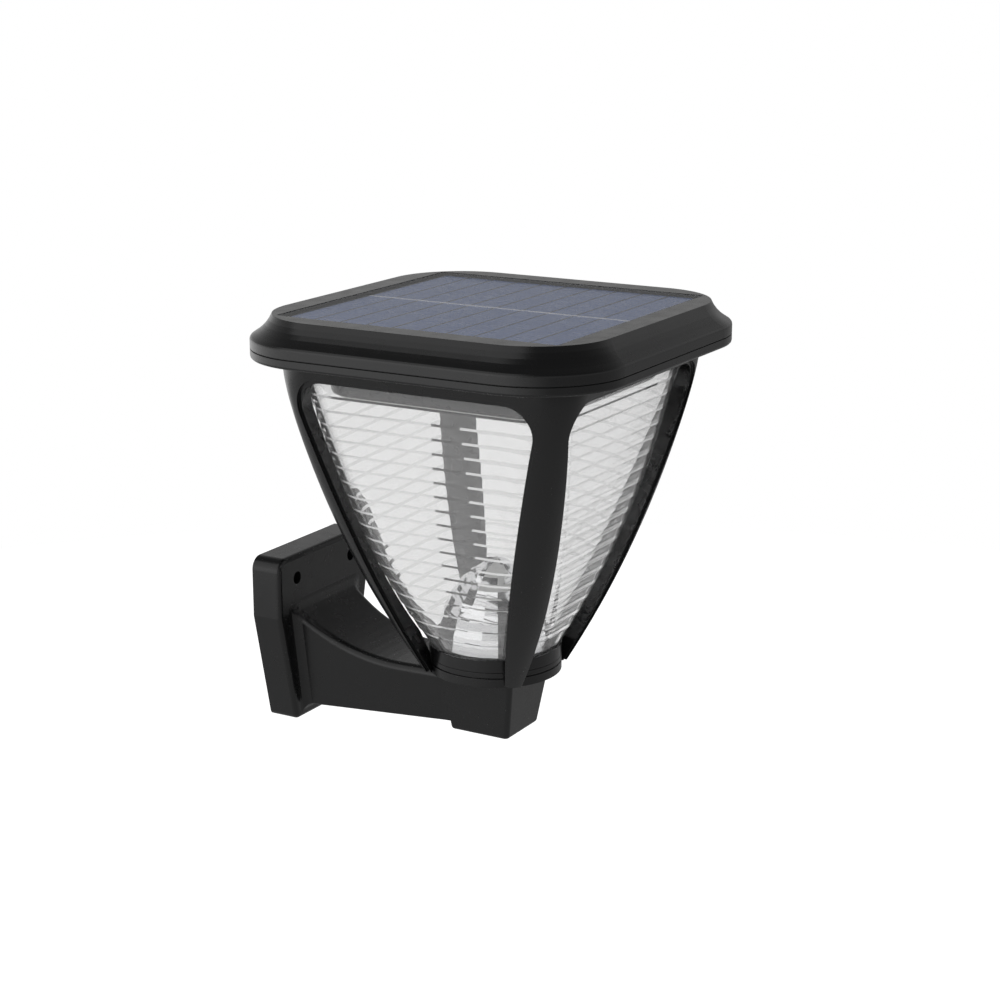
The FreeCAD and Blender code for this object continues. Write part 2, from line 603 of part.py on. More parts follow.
def make_cap_screws():
    return upright_screws(CAP_SCREW_PLACES, CAP_SCREW_SEAT, CAP_SCREW_LENGTH, True, MAIN_SCREW)


# ---------------------------------------------------------------- solar panel
GLAZE_FOOT_DEPTH = GLAZE_INSET + GLAZE_THICK
CELL_TOP_DEPTH = GLAZE_FOOT_DEPTH + RIBBON_THICK
CELL_FOOT_DEPTH = CELL_TOP_DEPTH + CELL_THICK
CELL_PITCH = 2.0 * CELL_FIELD_HALF / CELL_COUNT


def make_panel_base():
    return square_block(PANEL_HALF, PANEL_CORNER_R, CELL_FOOT_DEPTH, PANEL_THICK)


def make_panel_glaze():
    return square_block(PANEL_HALF, PANEL_CORNER_R, GLAZE_INSET, GLAZE_FOOT_DEPTH)


def make_solar_cells():
    strips = []
    for index in range(CELL_COUNT):
        start = -CELL_FIELD_HALF + CELL_PITCH * index + CELL_GAP / 2.0
        end = start + CELL_PITCH - CELL_GAP
        strips.append(box(-CELL_FIELD_HALF, CELL_FIELD_HALF, start, end, CELL_TOP_DEPTH, CELL_FOOT_DEPTH))
    return group(strips)


def joint_places():
    return [-CELL_FIELD_HALF + CELL_PITCH * index for index in range(1, CELL_COUNT)]


def make_ribbon_joints():
    spots = [disc(JOINT_R, GLAZE_FOOT_DEPTH, CELL_TOP_DEPTH, 0.0, y) for y in joint_places()]
    return group(spots)


def make_cell_ribbon():
    half = RIBBON_WIDTH / 2.0
    ribbon = box(-half, half, -CELL_FIELD_HALF, CELL_FIELD_HALF, GLAZE_FOOT_DEPTH, CELL_TOP_DEPTH)
    pieces = ribbon.cut([disc(JOINT_R, GLAZE_FOOT_DEPTH, CELL_TOP_DEPTH, 0.0, y) for y in joint_places()])
    return group(pieces.Solids)


# ---------------------------------------------------------------- lens and cage
def side_bow(share):
    """Bow of cage and lens past a straight taper, share running from top to foot."""
    skew = 1.0 + BULGE_SKEW * (2.0 * share - 1.0)
    return BULGE * skew * 4.0 * share * (1.0 - share)


def lens_half(depth):
    """Half width of the lens's bowed outside."""
    share = (depth - CAGE_TOP_DEPTH) / (LENS_FOOT_DEPTH - CAGE_TOP_DEPTH)
    return between(LENS_TOP_HALF, LENS_FOOT_R, share) + side_bow(share)


def lens_radius(depth):
    share = (depth - CAGE_TOP_DEPTH) / (LENS_FOOT_DEPTH - CAGE_TOP_DEPTH)
    return between(LENS_TOP_CORNER_R, LENS_FOOT_R - LENS_FOOT_FLAT, share)


def lens_section(depth, grow):
    return (depth, lens_half(depth) + grow, lens_radius(depth) + grow)


def lens_core(top, grow):
    """Smooth solid of the lens's outside without its steps, grown or shrunk on all sides."""
    depths = [between(top, LENS_FOOT_DEPTH, index / (BULGE_SECTIONS - 1.0))
              for index in range(BULGE_SECTIONS)]
    return square_loft([lens_section(depth, grow) for depth in depths], False)


def make_lens():
    sections = [lens_section(CAGE_TOP_DEPTH, 0.0)]
    for index in range(RIB_COUNT):
        face_top = RIB_START_DEPTH + RIB_PITCH * index
        ledge_top = face_top + RIB_PITCH - RIB_LEDGE_HEIGHT
        sections.append(lens_section(face_top, -RIB_STEP))
        sections.append(lens_section(ledge_top, 0.0))
    sections.append(lens_section(LENS_FOOT_DEPTH, 0.0))
    return square_loft(sections).cut(lens_core(CAGE_TOP_DEPTH, -LENS_WALL))


def make_lens_gasket():
    return ring(LENS_FOOT_R, LENS_FOOT_R - LENS_WALL, LENS_FOOT_DEPTH, HOOP_LEDGE_DEPTH)


def cage_sections(inset):
    """Bowed sides of the cage, from its top ring to the feet of its legs."""
    sections = []
    for index in range(BULGE_SECTIONS):
        share = index / (BULGE_SECTIONS - 1.0)
        depth = between(CAGE_TOP_DEPTH, CAGE_FOOT_DEPTH, share)
        half = between(CAGE_TOP_HALF, CAGE_FOOT_HALF, share) + side_bow(share)
        top_extra = (CAGE_TOP_CORNER_R - CAGE_LEG_CORNER_R) * math.exp(-share / CAGE_TOP_FADE)
        foot_less = (CAGE_LEG_CORNER_R - CAGE_FOOT_CORNER_R) * share ** CAGE_FOOT_POWER
        radius = CAGE_LEG_CORNER_R + top_extra - foot_less
        sections.append((depth, half - inset, radius - inset))
    return sections


def window_prism(grow, across_x):
    """Prism through two opposite windows, grown on all sides."""
    top = height(WINDOW_TOP_DEPTH - grow)
    foot = height(CAGE_FOOT_DEPTH + OVERCUT)
    slope = (WINDOW_TOP_HALF - WINDOW_FOOT_HALF) / (CAGE_FOOT_DEPTH - WINDOW_TOP_DEPTH)
    top_half = WINDOW_TOP_HALF + grow * (1.0 + slope)
    foot_half = WINDOW_FOOT_HALF - slope + grow
    points = [(-top_half, top), (top_half, top), (foot_half, foot), (-foot_half, foot)]
    radius = WINDOW_CORNER_R + grow
    reach = CAGE_TOP_HALF + OVERCUT

    def place_x(point):
        return V(-reach, HEAD_Y + point.x, point.y)

    def place_y(point):
        return V(point.x, HEAD_Y - reach, point.y)

    place = place_x if across_x else place_y
    way = V(2.0 * reach, 0, 0) if across_x else V(0, 2.0 * reach, 0)
    return Part.Face(outline_wire(points, (radius, radius, 0, 0), place)).extrude(way)


def make_cage():
    outside = square_loft(cage_sections(0.0), False)
    core = square_loft(cage_sections(WINDOW_LIP_DEPTH), False)
    lips = [window_prism(WINDOW_LIP_WIDTH, across_x).cut(core) for across_x in (True, False)]
    windows = [window_prism(0.0, across_x) for across_x in (True, False)]
    legs = outside.cut(windows).cut(lips)
    hoop = disc(COLLAR_R, HOOP_TOP_DEPTH, HOOP_FOOT_DEPTH)
    cage = join([legs, hoop])
    cuts = [lens_core(CAGE_TOP_DEPTH - OVERCUT, LENS_CLEARANCE)]
    cuts.append(disc(LENS_FOOT_R + LENS_CLEARANCE, HOOP_TOP_DEPTH, HOOP_LEDGE_DEPTH))
    cuts.append(disc(HOOP_LEDGE_R, HOOP_LEDGE_DEPTH - OVERCUT, HOOP_FOOT_DEPTH + OVERCUT))
    cuts.append(disc(COLLAR_R + COLLAR_LEG_CLEARANCE, HOOP_FOOT_DEPTH, CAGE_FOOT_DEPTH + OVERCUT))
    cage_tip = FLOOR_TOP_DEPTH + CAGE_SCREW_LENGTH + COUNTERBORE_GAP
    cuts += screw_holes(CAGE_SCREW_PLACES, MAIN_SHANK_R, CAGE_TOP_DEPTH - OVERCUT, cage_tip)
    collar_tip = COLLAR_SCREW_SEAT - COLLAR_SCREW_LENGTH - SCREW_CLEARANCE
    cuts += screw_holes(COLLAR_SCREW_PLACES, SMALL_SHANK_R, collar_tip, HOOP_FOOT_DEPTH + OVERCUT)
    return cage.cut(cuts)


def make_neck_gasket():
    outer_half = CAGE_TOP_HALF - NECK_GASKET_INSET
    outer_r = CAGE_TOP_CORNER_R - NECK_GASKET_INSET
    inner_r = LENS_TOP_CORNER_R - (LENS_TOP_HALF - NECK_GASKET_INNER)
    seal = square_block(outer_half, outer_r, CAP_DEPTH, CAGE_TOP_DEPTH)
    cuts = [square_block(NECK_GASKET_INNER, inner_r, CAP_DEPTH, CAGE_TOP_DEPTH)]
    cuts += screw_holes(CAGE_SCREW_PLACES, MAIN_SHANK_R, CAP_DEPTH, CAGE_TOP_DEPTH)
    return seal.cut(cuts)


def make_cage_screws():
    return upright_screws(CAGE_SCREW_PLACES, FLOOR_TOP_DEPTH, CAGE_SCREW_LENGTH, False, MAIN_SCREW)


# ---------------------------------------------------------------- collar and bayonet
COLLAR_SCREW_SEAT = COLLAR_FOOT_DEPTH - SMALL_HEAD_H - COUNTERBORE_GAP
LUG_TOP_DEPTH = COLLAR_FOOT_DEPTH + LUG_DROP
LUG_FOOT_DEPTH = LUG_TOP_DEPTH + LUG_HEIGHT
SPIGOT_FOOT_DEPTH = COLLAR_FOOT_DEPTH + SPIGOT_LENGTH
LUG_MIDDLES = [FIRST_ANGLE + 360.0 * index / LUG_COUNT for index in range(LUG_COUNT)]


def make_base_collar():
    band = disc(COLLAR_R, COLLAR_TOP_DEPTH, COLLAR_FOOT_DEPTH)
    spigot = disc(SPIGOT_R, COLLAR_FLOOR_DEPTH, SPIGOT_FOOT_DEPTH)
    lugs = [sector(LUG_R, SPIGOT_BORE_R, LUG_TOP_DEPTH, LUG_FOOT_DEPTH, middle, LUG_ANGLE)
            for middle in LUG_MIDDLES]
    collar = join([band, spigot] + lugs)
    groove_top = GROOVE_DEPTH - GROOVE_WIDTH / 2.0
    cuts = [ring(COLLAR_R + OVERCUT, COLLAR_R - GROOVE_CUT, groove_top, groove_top + GROOVE_WIDTH)]
    cuts.append(disc(COLLAR_DISH_R, COLLAR_TOP_DEPTH - OVERCUT, COLLAR_FLOOR_DEPTH))
    cuts.append(disc(SPIGOT_BORE_R, COLLAR_FOOT_DEPTH, SPIGOT_FOOT_DEPTH + OVERCUT))
    cuts += screw_holes([(0.0, 0.0)], MAIN_SHANK_R, COLLAR_FLOOR_DEPTH - OVERCUT,
                        COLLAR_FOOT_DEPTH + OVERCUT)
    cuts += screw_holes(COLLAR_SCREW_PLACES, SMALL_SHANK_R, COLLAR_TOP_DEPTH - OVERCUT,
                        COLLAR_FOOT_DEPTH)
    cuts += holes(COLLAR_SCREW_PLACES, SMALL_HEAD_R + COUNTERBORE_GAP, COLLAR_SCREW_SEAT,
                  COLLAR_FOOT_DEPTH + OVERCUT)
    return collar.cut(cuts)


def make_collar_screws():
    return upright_screws(COLLAR_SCREW_PLACES, COLLAR_SCREW_SEAT, COLLAR_SCREW_LENGTH, True, SMALL_SCREW)


def bell(shoulder_r, apex, shoulder, foot_r, foot):
    """Solid bell turned about the lamp axis, pointed at the top."""
    tip = V(0, HEAD_Y, height(apex))
    waist = V(shoulder_r, HEAD_Y, height(shoulder))
    rim = V(foot_r, HEAD_Y, height(foot))
    centre = V(0, HEAD_Y, height(foot))
    edges = [Part.Arc(tip, waist, rim).toShape()]
    edges.append(Part.LineSegment(rim, centre).toShape())
    edges.append(Part.LineSegment(centre, tip).toShape())
    return Part.Face(Part.Wire(edges)).revolve(centre, V(0, 0, 1), 360.0)


def make_cone_reflector():
    flange_r = LENS_FOOT_R - LENS_WALL - CONE_CLEARANCE
    flange_top = HOOP_LEDGE_DEPTH - CONE_FLANGE_THICK
    outer = bell(CONE_SHOULDER_R, CONE_APEX_DEPTH, CONE_SHOULDER_DEPTH, flange_r, HOOP_LEDGE_DEPTH)
    inner = bell(CONE_SHOULDER_R - CONE_WALL, CONE_APEX_DEPTH + CONE_WALL * 1.4,
                 CONE_SHOULDER_DEPTH + CONE_WALL, flange_r - CONE_WALL, HOOP_LEDGE_DEPTH)
    stem_in_bell = disc(CONE_STEM_R, CONE_APEX_DEPTH, HOOP_LEDGE_DEPTH).common(outer)
    stem_below = disc(CONE_STEM_R, flange_top, COLLAR_FLOOR_DEPTH)
    cone = join([outer.cut(inner), stem_in_bell, stem_below])
    tip = COLLAR_FOOT_DEPTH - REFLECTOR_SCREW_LENGTH - SCREW_CLEARANCE
    return cone.cut(screw_holes([(0.0, 0.0)], MAIN_SHANK_R, tip, COLLAR_FLOOR_DEPTH + OVERCUT))


def make_reflector_screw():
    return upright_screws([(0.0, 0.0)], COLLAR_FOOT_DEPTH, REFLECTOR_SCREW_LENGTH, True, MAIN_SCREW)


# ---------------------------------------------------------------- base block
BLOCK_SLOPE = (BLOCK_TOP_HALF - BLOCK_FOOT_HALF) / (BLOCK_FOOT_DEPTH - BLOCK_TOP_DEPTH)


def taper_half(depth):
    """Half width of block and arm, which share the same sloping sides."""
    return BLOCK_TOP_HALF + BLOCK_SLOPE * (BLOCK_TOP_DEPTH - depth)


def block_wire(depth, inward):
    """Level section of the block: front edges rounded, rear edges sharp against the arm."""
    half = taper_half(depth) - inward
    radius = max(BLOCK_EDGE_R - inward, BLOCK_EDGE_R * 0.4)
    z = height(depth)
    points = [(-half, -half), (half, -half), (half, half), (-half, half)]
    return outline_wire(points, (radius, radius, 0, 0), lambda point: V(point.x, HEAD_Y + point.y, z))


def make_base_block():
    wires = [block_wire(BLOCK_TOP_DEPTH, 0.0)]
    for degrees in (0.0, 30.0, 60.0, 90.0):
        angle = math.radians(degrees)
        level = BLOCK_FOOT_DEPTH - BLOCK_FOOT_ROUND * (1.0 - math.sin(angle))
        wires.append(block_wire(level, BLOCK_FOOT_ROUND * (1.0 - math.cos(angle))))
    block = Part.makeLoft(wires, True, True)
    socket_r = SPIGOT_R + BAYONET_CLEARANCE
    pocket_r = LUG_R + BAYONET_CLEARANCE
    above = BLOCK_TOP_DEPTH - OVERCUT
    pocket_top = LUG_TOP_DEPTH - BAYONET_CLEARANCE
    pocket_foot = LUG_FOOT_DEPTH + BAYONET_CLEARANCE
    cuts = [disc(socket_r, above, SPIGOT_FOOT_DEPTH + SOCKET_FLOOR_GAP)]
    opening = LUG_ANGLE + 2.0 * STOP_ANGLE
    for middle in LUG_MIDDLES:
        free = middle + TWIST_ANGLE
        cuts.append(sector(pocket_r, SPIGOT_BORE_R, above, pocket_foot, free, opening))
        span = TWIST_ANGLE + opening
        cuts.append(sector(pocket_r, SPIGOT_BORE_R, pocket_top, pocket_foot, (middle + free) / 2.0, span))
    for x in (-ARM_SCREW_AT, ARM_SCREW_AT):
        cuts.append(arm_screw_hole(x))
    return block.cut(cuts)


# ---------------------------------------------------------------- wall bracket
def arm_foot_depth(out):
    """Depth of the arm's underside, out being the distance from the lamp axis to the wall side."""
    share = (out - BLOCK_FOOT_HALF) / (PLATE_FRONT - BLOCK_FOOT_HALF)
    return between(ARM_END_DEPTH, ARM_ROOT_DEPTH, share)


HOLLOW_FLOOR_DEPTH = arm_foot_depth(ARM_SCREW_SEAT) - BRACKET_WALL
ARM_SCREW_DEPTH = HOLLOW_FLOOR_DEPTH - ARM_SCREW_FOOT_GAP - MAIN_HEAD_R
ARM_SCREW_AT = taper_half(ARM_SCREW_DEPTH) - BRACKET_WALL - ARM_SCREW_SIDE_GAP - MAIN_HEAD_R


def arm_screw_hole(x):
    start = V(x, HEAD_Y + ARM_SCREW_SEAT + OVERCUT, height(ARM_SCREW_DEPTH))
    length = OVERCUT + ARM_SCREW_LENGTH + SCREW_CLEARANCE
    return Part.makeCylinder(MAIN_SHANK_R + SCREW_CLEARANCE, length, start, V(0, -1, 0))


def make_bracket_screws():
    screws = []
    for x in (-ARM_SCREW_AT, ARM_SCREW_AT):
        seat = V(x, HEAD_Y + ARM_SCREW_SEAT, height(ARM_SCREW_DEPTH))
        screws.append(screw(seat, V(0, -1, 0), ARM_SCREW_LENGTH, *MAIN_SCREW))
    return group(screws)


def arm_top_depth(out):
    past = max(0.0, out - ARM_CURVE_START)
    return BLOCK_TOP_DEPTH - (ARM_CURVE_R - math.sqrt(ARM_CURVE_R ** 2 - past ** 2))


def arm_flare(out):
    return ARM_FLARE * max(0.0, out - BLOCK_TOP_HALF) / (PLATE_FRONT - BLOCK_TOP_HALF)


def arm_wire(out, grow):
    """Upright section of the arm, grown or shrunk on all sides."""
    top = arm_top_depth(out) - grow
    foot = arm_foot_depth(out) + grow
    top_half = taper_half(top) + arm_flare(out) + grow
    foot_half = taper_half(foot) + arm_flare(out) + grow
    points = [(-foot_half, height(foot)), (foot_half, height(foot)),
              (top_half, height(top)), (-top_half, height(top))]
    foot_r = max(ARM_FOOT_ROUND + min(grow, 0.0), ARM_FOOT_ROUND / 2.0)
    top_r = max(ARM_TOP_ROUND + min(grow, 0.0), ARM_FOOT_ROUND / 2.0)
    radii = (foot_r, foot_r, top_r, top_r)
    return outline_wire(points, radii, lambda point: V(point.x, HEAD_Y + out, point.y))


def arm_stations(start, end):
    """Even places along the arm between two distances from the lamp axis."""
    count = max(2, int(math.ceil((end - start) / ARM_STEP)))
    return [between(start, end, index / float(count)) for index in range(count + 1)]


def make_arm():
    cove_start = PLATE_FRONT - ARM_COVE
    wires = [arm_wire(0.0, 0.0), arm_wire(BLOCK_TOP_HALF, 0.0)]
    wires += [arm_wire(out, 0.0) for out in arm_stations(ARM_CURVE_START, cove_start)]
    for degrees in (30.0, 50.0, 70.0, 90.0):
        angle = math.radians(degrees)
        out = cove_start + ARM_COVE * math.sin(angle)
        wires.append(arm_wire(out, ARM_COVE * (1.0 - math.cos(angle))))
    wires.append(arm_wire(PLATE_FRONT + PLATE_THICK / 4.0, ARM_COVE))
    return Part.makeLoft(wires, True, True)


def make_arm_hollow():
    start = BLOCK_TOP_HALF + ARM_END_WALL
    wires = [arm_wire(out, -BRACKET_WALL) for out in arm_stations(start, HEAD_OUT)]
    return Part.makeLoft(wires, True, True)


def in_front_of_joint():
    """Everything in front of the sloping joint between block and arm."""
    above = BLOCK_TOP_DEPTH - HEAD_OUT
    below = BLOCK_FOOT_DEPTH + HEAD_OUT
    far = -HEAD_OUT
    points = [(far, above), (taper_half(above), above), (taper_half(below), below), (far, below)]
    outline = [V(-HEAD_OUT, HEAD_Y + out, height(depth)) for out, depth in points + points[:1]]
    return Part.Face(Part.makePolygon(outline)).extrude(V(2.0 * HEAD_OUT, 0, 0))


def plate_wire(inset, y):
    top = height(PLATE_TOP_DEPTH + inset)
    kink = height(PLATE_KINK_DEPTH)
    foot = height(PLATE_FOOT_DEPTH - inset)
    top_half = PLATE_TOP_HALF - inset
    foot_half = PLATE_FOOT_HALF - inset
    points = [(-foot_half, foot), (foot_half, foot), (top_half, kink), (top_half, top),
              (-top_half, top), (-top_half, kink)]
    top_r = max(PLATE_CORNER_R - inset, PLATE_FOOT_CORNER_R / 2.0)
    foot_r = max(PLATE_FOOT_CORNER_R - inset, PLATE_FOOT_CORNER_R / 2.0)
    radii = (foot_r, foot_r, 0, top_r, top_r, 0)
    return outline_wire(points, radii, lambda point: V(point.x, y, point.y))


def make_plate():
    """Wall plate with its front edge rounded all the way."""
    wires = [plate_wire(0.0, 0.0)]
    for degrees in (0.0, 22.5, 45.0, 67.5, 90.0):
        angle = math.radians(degrees)
        forward = PLATE_THICK - PLATE_EDGE_ROUND * (1.0 - math.sin(angle))
        wires.append(plate_wire(PLATE_EDGE_ROUND * (1.0 - math.cos(angle)), -forward))
    return Part.makeLoft(wires, True, True)


def wall_side_block(x0, x1, top, foot):
    """Block behind the plate's front wall, back to the wall plane."""
    front = -(PLATE_THICK - BRACKET_WALL / 2.0)
    return Part.makeBox(x1 - x0, -front, foot - top, V(x0, front, height(foot)))


def make_wall_bracket():
    inset = BRACKET_WALL
    inner_front = -(PLATE_THICK - inset)
    cavity = Part.Face(plate_wire(inset, inner_front)).extrude(V(0, OVERCUT - inner_front, 0))
    plate = make_plate().cut(cavity)
    bosses = []
    for side in (-1, 1):
        base = V(side * WALL_SCREW_SPACING / 2.0, -(PLATE_THICK - inset / 2.0), 0.0)
        bosses.append(Part.makeCylinder(BOSS_R, PLATE_THICK - inset / 2.0, base, V(0, 1, 0)))
    half_rib = RIB_THICK / 2.0
    side_reach = PLATE_FOOT_HALF + (PLATE_TOP_HALF - PLATE_FOOT_HALF) / 2.0
    ribs = [wall_side_block(-half_rib, half_rib, PLATE_TOP_DEPTH + inset / 2.0, PLATE_KINK_DEPTH)]
    ribs.append(wall_side_block(-side_reach, side_reach, SIDE_RIB_DEPTH - half_rib,
                                SIDE_RIB_DEPTH + half_rib))
    arm = make_arm().cut(in_front_of_joint())
    bracket = join([plate, arm] + bosses + ribs)
    cuts = [make_arm_hollow()]
    for side in (-1, 1):
        base = V(side * WALL_SCREW_SPACING / 2.0, -PLATE_THICK - OVERCUT, 0.0)
        cuts.append(Part.makeCylinder(WALL_SCREW_R, PLATE_THICK + 2.0 * OVERCUT, base, V(0, 1, 0)))
    cuts += [arm_screw_hole(x) for x in (-ARM_SCREW_AT, ARM_SCREW_AT)]
    return bracket.cut(cuts)


# ---------------------------------------------------------------- LED housing and contents
def make_led_housing():
    sections = [(CAP_DEPTH, HOUSING_HALF, HOUSING_CORNER_R)]
    sections += rounded_foot(HOUSING_DEPTH, HOUSING_HALF, HOUSING_CORNER_R, HOUSING_FOOT_ROUND)
    tray = square_loft(sections)
    hollow = square_block(HOUSING_INNER, HOUSING_INNER_R, CAP_DEPTH - OVERCUT, HOUSING_FLOOR_DEPTH)
    light_opening = square_block(LIGHT_OPENING_HALF, LIGHT_OPENING_R, HOUSING_FLOOR_DEPTH - OVERCUT,
                                 HOUSING_DEPTH + OVERCUT)
    tray = tray.cut([hollow, light_opening])
    inside = HOUSING_FLOOR_DEPTH + HOUSING_FLOOR / 2.0
    bosses = holes(HOUSING_SCREW_PLACES, HOUSING_BOSS_R, CAP_DEPTH, inside)
    rails = []
    for side in (-1, 1):
        near = side * (HOUSING_INNER - RAIL_WIDTH)
        far = side * (HOUSING_INNER + HOUSING_WALL / 2.0)
        rails.append(box(min(near, far), max(near, far), -RAIL_HALF_LENGTH, RAIL_HALF_LENGTH,
                         TRAY_FOOT_DEPTH, inside))
    tray = join([tray] + bosses + rails)
    boss_tip = FLOOR_TOP_DEPTH + HOUSING_SCREW_LENGTH + COUNTERBORE_GAP
    cuts = screw_holes(HOUSING_SCREW_PLACES, MAIN_SHANK_R, CAP_DEPTH - OVERCUT, boss_tip)
    rail_tip = TRAY_TOP_DEPTH + TRAY_SCREW_LENGTH + SCREW_CLEARANCE
    cuts += screw_holes(TRAY_SCREW_PLACES, SMALL_SHANK_R, TRAY_FOOT_DEPTH - OVERCUT, rail_tip)
    return tray.cut(cuts)


def make_housing_screws():
    return upright_screws(HOUSING_SCREW_PLACES, FLOOR_TOP_DEPTH, HOUSING_SCREW_LENGTH, False, MAIN_SCREW)


def make_led_cover():
    half = HOUSING_HALF - COVER_INSET
    return square_block(half, HOUSING_CORNER_R - COVER_INSET, HOUSING_DEPTH, HOUSING_DEPTH + COVER_THICK)


def make_component_tray():
    half = HOUSING_INNER - TRAY_CLEARANCE
    floor = square_block(half, HOUSING_INNER_R - TRAY_CLEARANCE, TRAY_TOP_DEPTH, TRAY_FOOT_DEPTH)
    floor = floor.cut(holes(HOUSING_SCREW_PLACES, HOUSING_BOSS_R + TRAY_CLEARANCE,
                            TRAY_TOP_DEPTH - OVERCUT, TRAY_FOOT_DEPTH + OVERCUT))
    inside = TRAY_TOP_DEPTH + TRAY_THICK / 2.0
    posts = holes(BOARD_SCREW_PLACES, POST_R, BOARD_FOOT_DEPTH, inside)
    side = BATTERY_R + BATTERY_GAP
    end = BATTERY_LENGTH / 2.0 + CONTACT_THICK + BATTERY_GAP
    wall_top = TRAY_TOP_DEPTH - CRADLE_HEIGHT
    walls = []
    for sign in (-1, 1):
        near = BATTERY_Y + sign * side
        far = BATTERY_Y + sign * (side + CRADLE_WALL)
        walls.append(box(-end, end, min(near, far), max(near, far), wall_top, inside))
        near = sign * end
        far = sign * (end + CRADLE_WALL)
        walls.append(box(min(near, far), max(near, far), BATTERY_Y - side - CRADLE_WALL,
                         BATTERY_Y + side + CRADLE_WALL, wall_top, inside))
    tray = join([floor] + posts + walls)
    cuts = screw_holes(TRAY_SCREW_PLACES, SMALL_SHANK_R, TRAY_TOP_DEPTH - OVERCUT,
                       TRAY_FOOT_DEPTH + OVERCUT)
    board_tip = BOARD_TOP_DEPTH + BOARD_SCREW_LENGTH + SCREW_CLEARANCE
    cuts += screw_holes(BOARD_SCREW_PLACES, SMALL_SHANK_R, BOARD_FOOT_DEPTH - OVERCUT, board_tip)
    led_tip = LED_BOARD_FOOT_DEPTH - LED_BOARD_SCREW_LENGTH - SCREW_CLEARANCE
    cuts += screw_holes(LED_BOARD_SCREW_PLACES, SMALL_SHANK_R, led_tip, TRAY_FOOT_DEPTH + OVERCUT)
    cuts += holes([(LED_LEAD_X, BOARD_Y)], LEAD_HOLE_R, TRAY_TOP_DEPTH - OVERCUT,
                  TRAY_FOOT_DEPTH + OVERCUT)
    return tray.cut(cuts)


def make_tray_screws():
    return upright_screws(TRAY_SCREW_PLACES, TRAY_TOP_DEPTH, TRAY_SCREW_LENGTH, False, SMALL_SCREW)


def make_led_board():
    board = box(-LED_BOARD_HALF, LED_BOARD_HALF, -LED_BOARD_HALF, LED_BOARD_HALF,
                TRAY_FOOT_DEPTH, LED_BOARD_FOOT_DEPTH)
    return board.cut(screw_holes(LED_BOARD_SCREW_PLACES, SMALL_SHANK_R, TRAY_FOOT_DEPTH,
                                 LED_BOARD_FOOT_DEPTH))


def make_leds():
    half = LED_SIZE / 2.0
    chips = []
    for column in range(LED_COLUMNS):
        for row in range(LED_ROWS):
            x = LED_PITCH * (column - (LED_COLUMNS - 1) / 2.0)
            y = LED_PITCH * (row - (LED_ROWS - 1) / 2.0)
            chips.append(box(x - half, x + half, y - half, y + half,
                             LED_BOARD_FOOT_DEPTH, LED_BOARD_FOOT_DEPTH + LED_THICK))
    return group(chips)


def make_led_board_screws():
    return upright_screws(LED_BOARD_SCREW_PLACES, LED_BOARD_FOOT_DEPTH, LED_BOARD_SCREW_LENGTH,
                          True, SMALL_SCREW)


def make_battery_cell():
    start = V(-BATTERY_LENGTH / 2.0, HEAD_Y + BATTERY_Y, height(BATTERY_DEPTH))
    return Part.makeCylinder(BATTERY_R, BATTERY_LENGTH, start, V(1, 0, 0))


def make_battery_contacts():
    half = CONTACT_SIZE / 2.0
    plates = []
    for side in (-1, 1):
        near = side * BATTERY_LENGTH / 2.0
        far = side * (BATTERY_LENGTH / 2.0 + CONTACT_THICK)
        plates.append(box(min(near, far), max(near, far), BATTERY_Y - half, BATTERY_Y + half,
                          BATTERY_DEPTH - half, TRAY_TOP_DEPTH))
    return group(plates)


def make_control_board():
    board = box(-BOARD_LENGTH / 2.0, BOARD_LENGTH / 2.0, BOARD_Y - BOARD_WIDTH / 2.0,
                BOARD_Y + BOARD_WIDTH / 2.0, BOARD_TOP_DEPTH, BOARD_FOOT_DEPTH)
    return board.cut(screw_holes(BOARD_SCREW_PLACES, SMALL_SHANK_R, BOARD_TOP_DEPTH, BOARD_FOOT_DEPTH))


def on_board(x, y, length, width, tall):
    return box(x - length / 2.0, x + length / 2.0, y - width / 2.0, y + width / 2.0,
               BOARD_TOP_DEPTH - tall, BOARD_TOP_DEPTH)


def make_board_parts():
    parts = [on_board(0.0, BOARD_Y, SOCKET_LENGTH, SOCKET_WIDTH, SOCKET_HEIGHT)]
    parts.append(on_board(0.0, CHIP_Y, CHIP_LENGTH, CHIP_WIDTH, CHIP_HEIGHT))
    parts.append(disc(COIL_R, BOARD_TOP_DEPTH - COIL_HEIGHT, BOARD_TOP_DEPTH, COIL_X, BOARD_Y))
    parts.append(disc(CAPACITOR_R, BOARD_TOP_DEPTH - CAPACITOR_HEIGHT, BOARD_TOP_DEPTH,
                      CAPACITOR_X, BOARD_Y))
    return group(parts)


def make_control_board_screws():
    return upright_screws(BOARD_SCREW_PLACES, BOARD_TOP_DEPTH, BOARD_SCREW_LENGTH, False, SMALL_SCREW)


def wire_pair(x):
    return (x - WIRE_SPACING / 2.0, x + WIRE_SPACING / 2.0)


def make_panel_lead():
    socket_top = BOARD_TOP_DEPTH - SOCKET_HEIGHT
    return group([disc(WIRE_R, PANEL_THICK, socket_top, x, BOARD_Y) for x in wire_pair(0.0)])


def make_led_lead():
    places = [(x, BOARD_Y) for x in wire_pair(LED_LEAD_X)]
    return group(holes(places, WIRE_R, BOARD_FOOT_DEPTH, TRAY_FOOT_DEPTH))


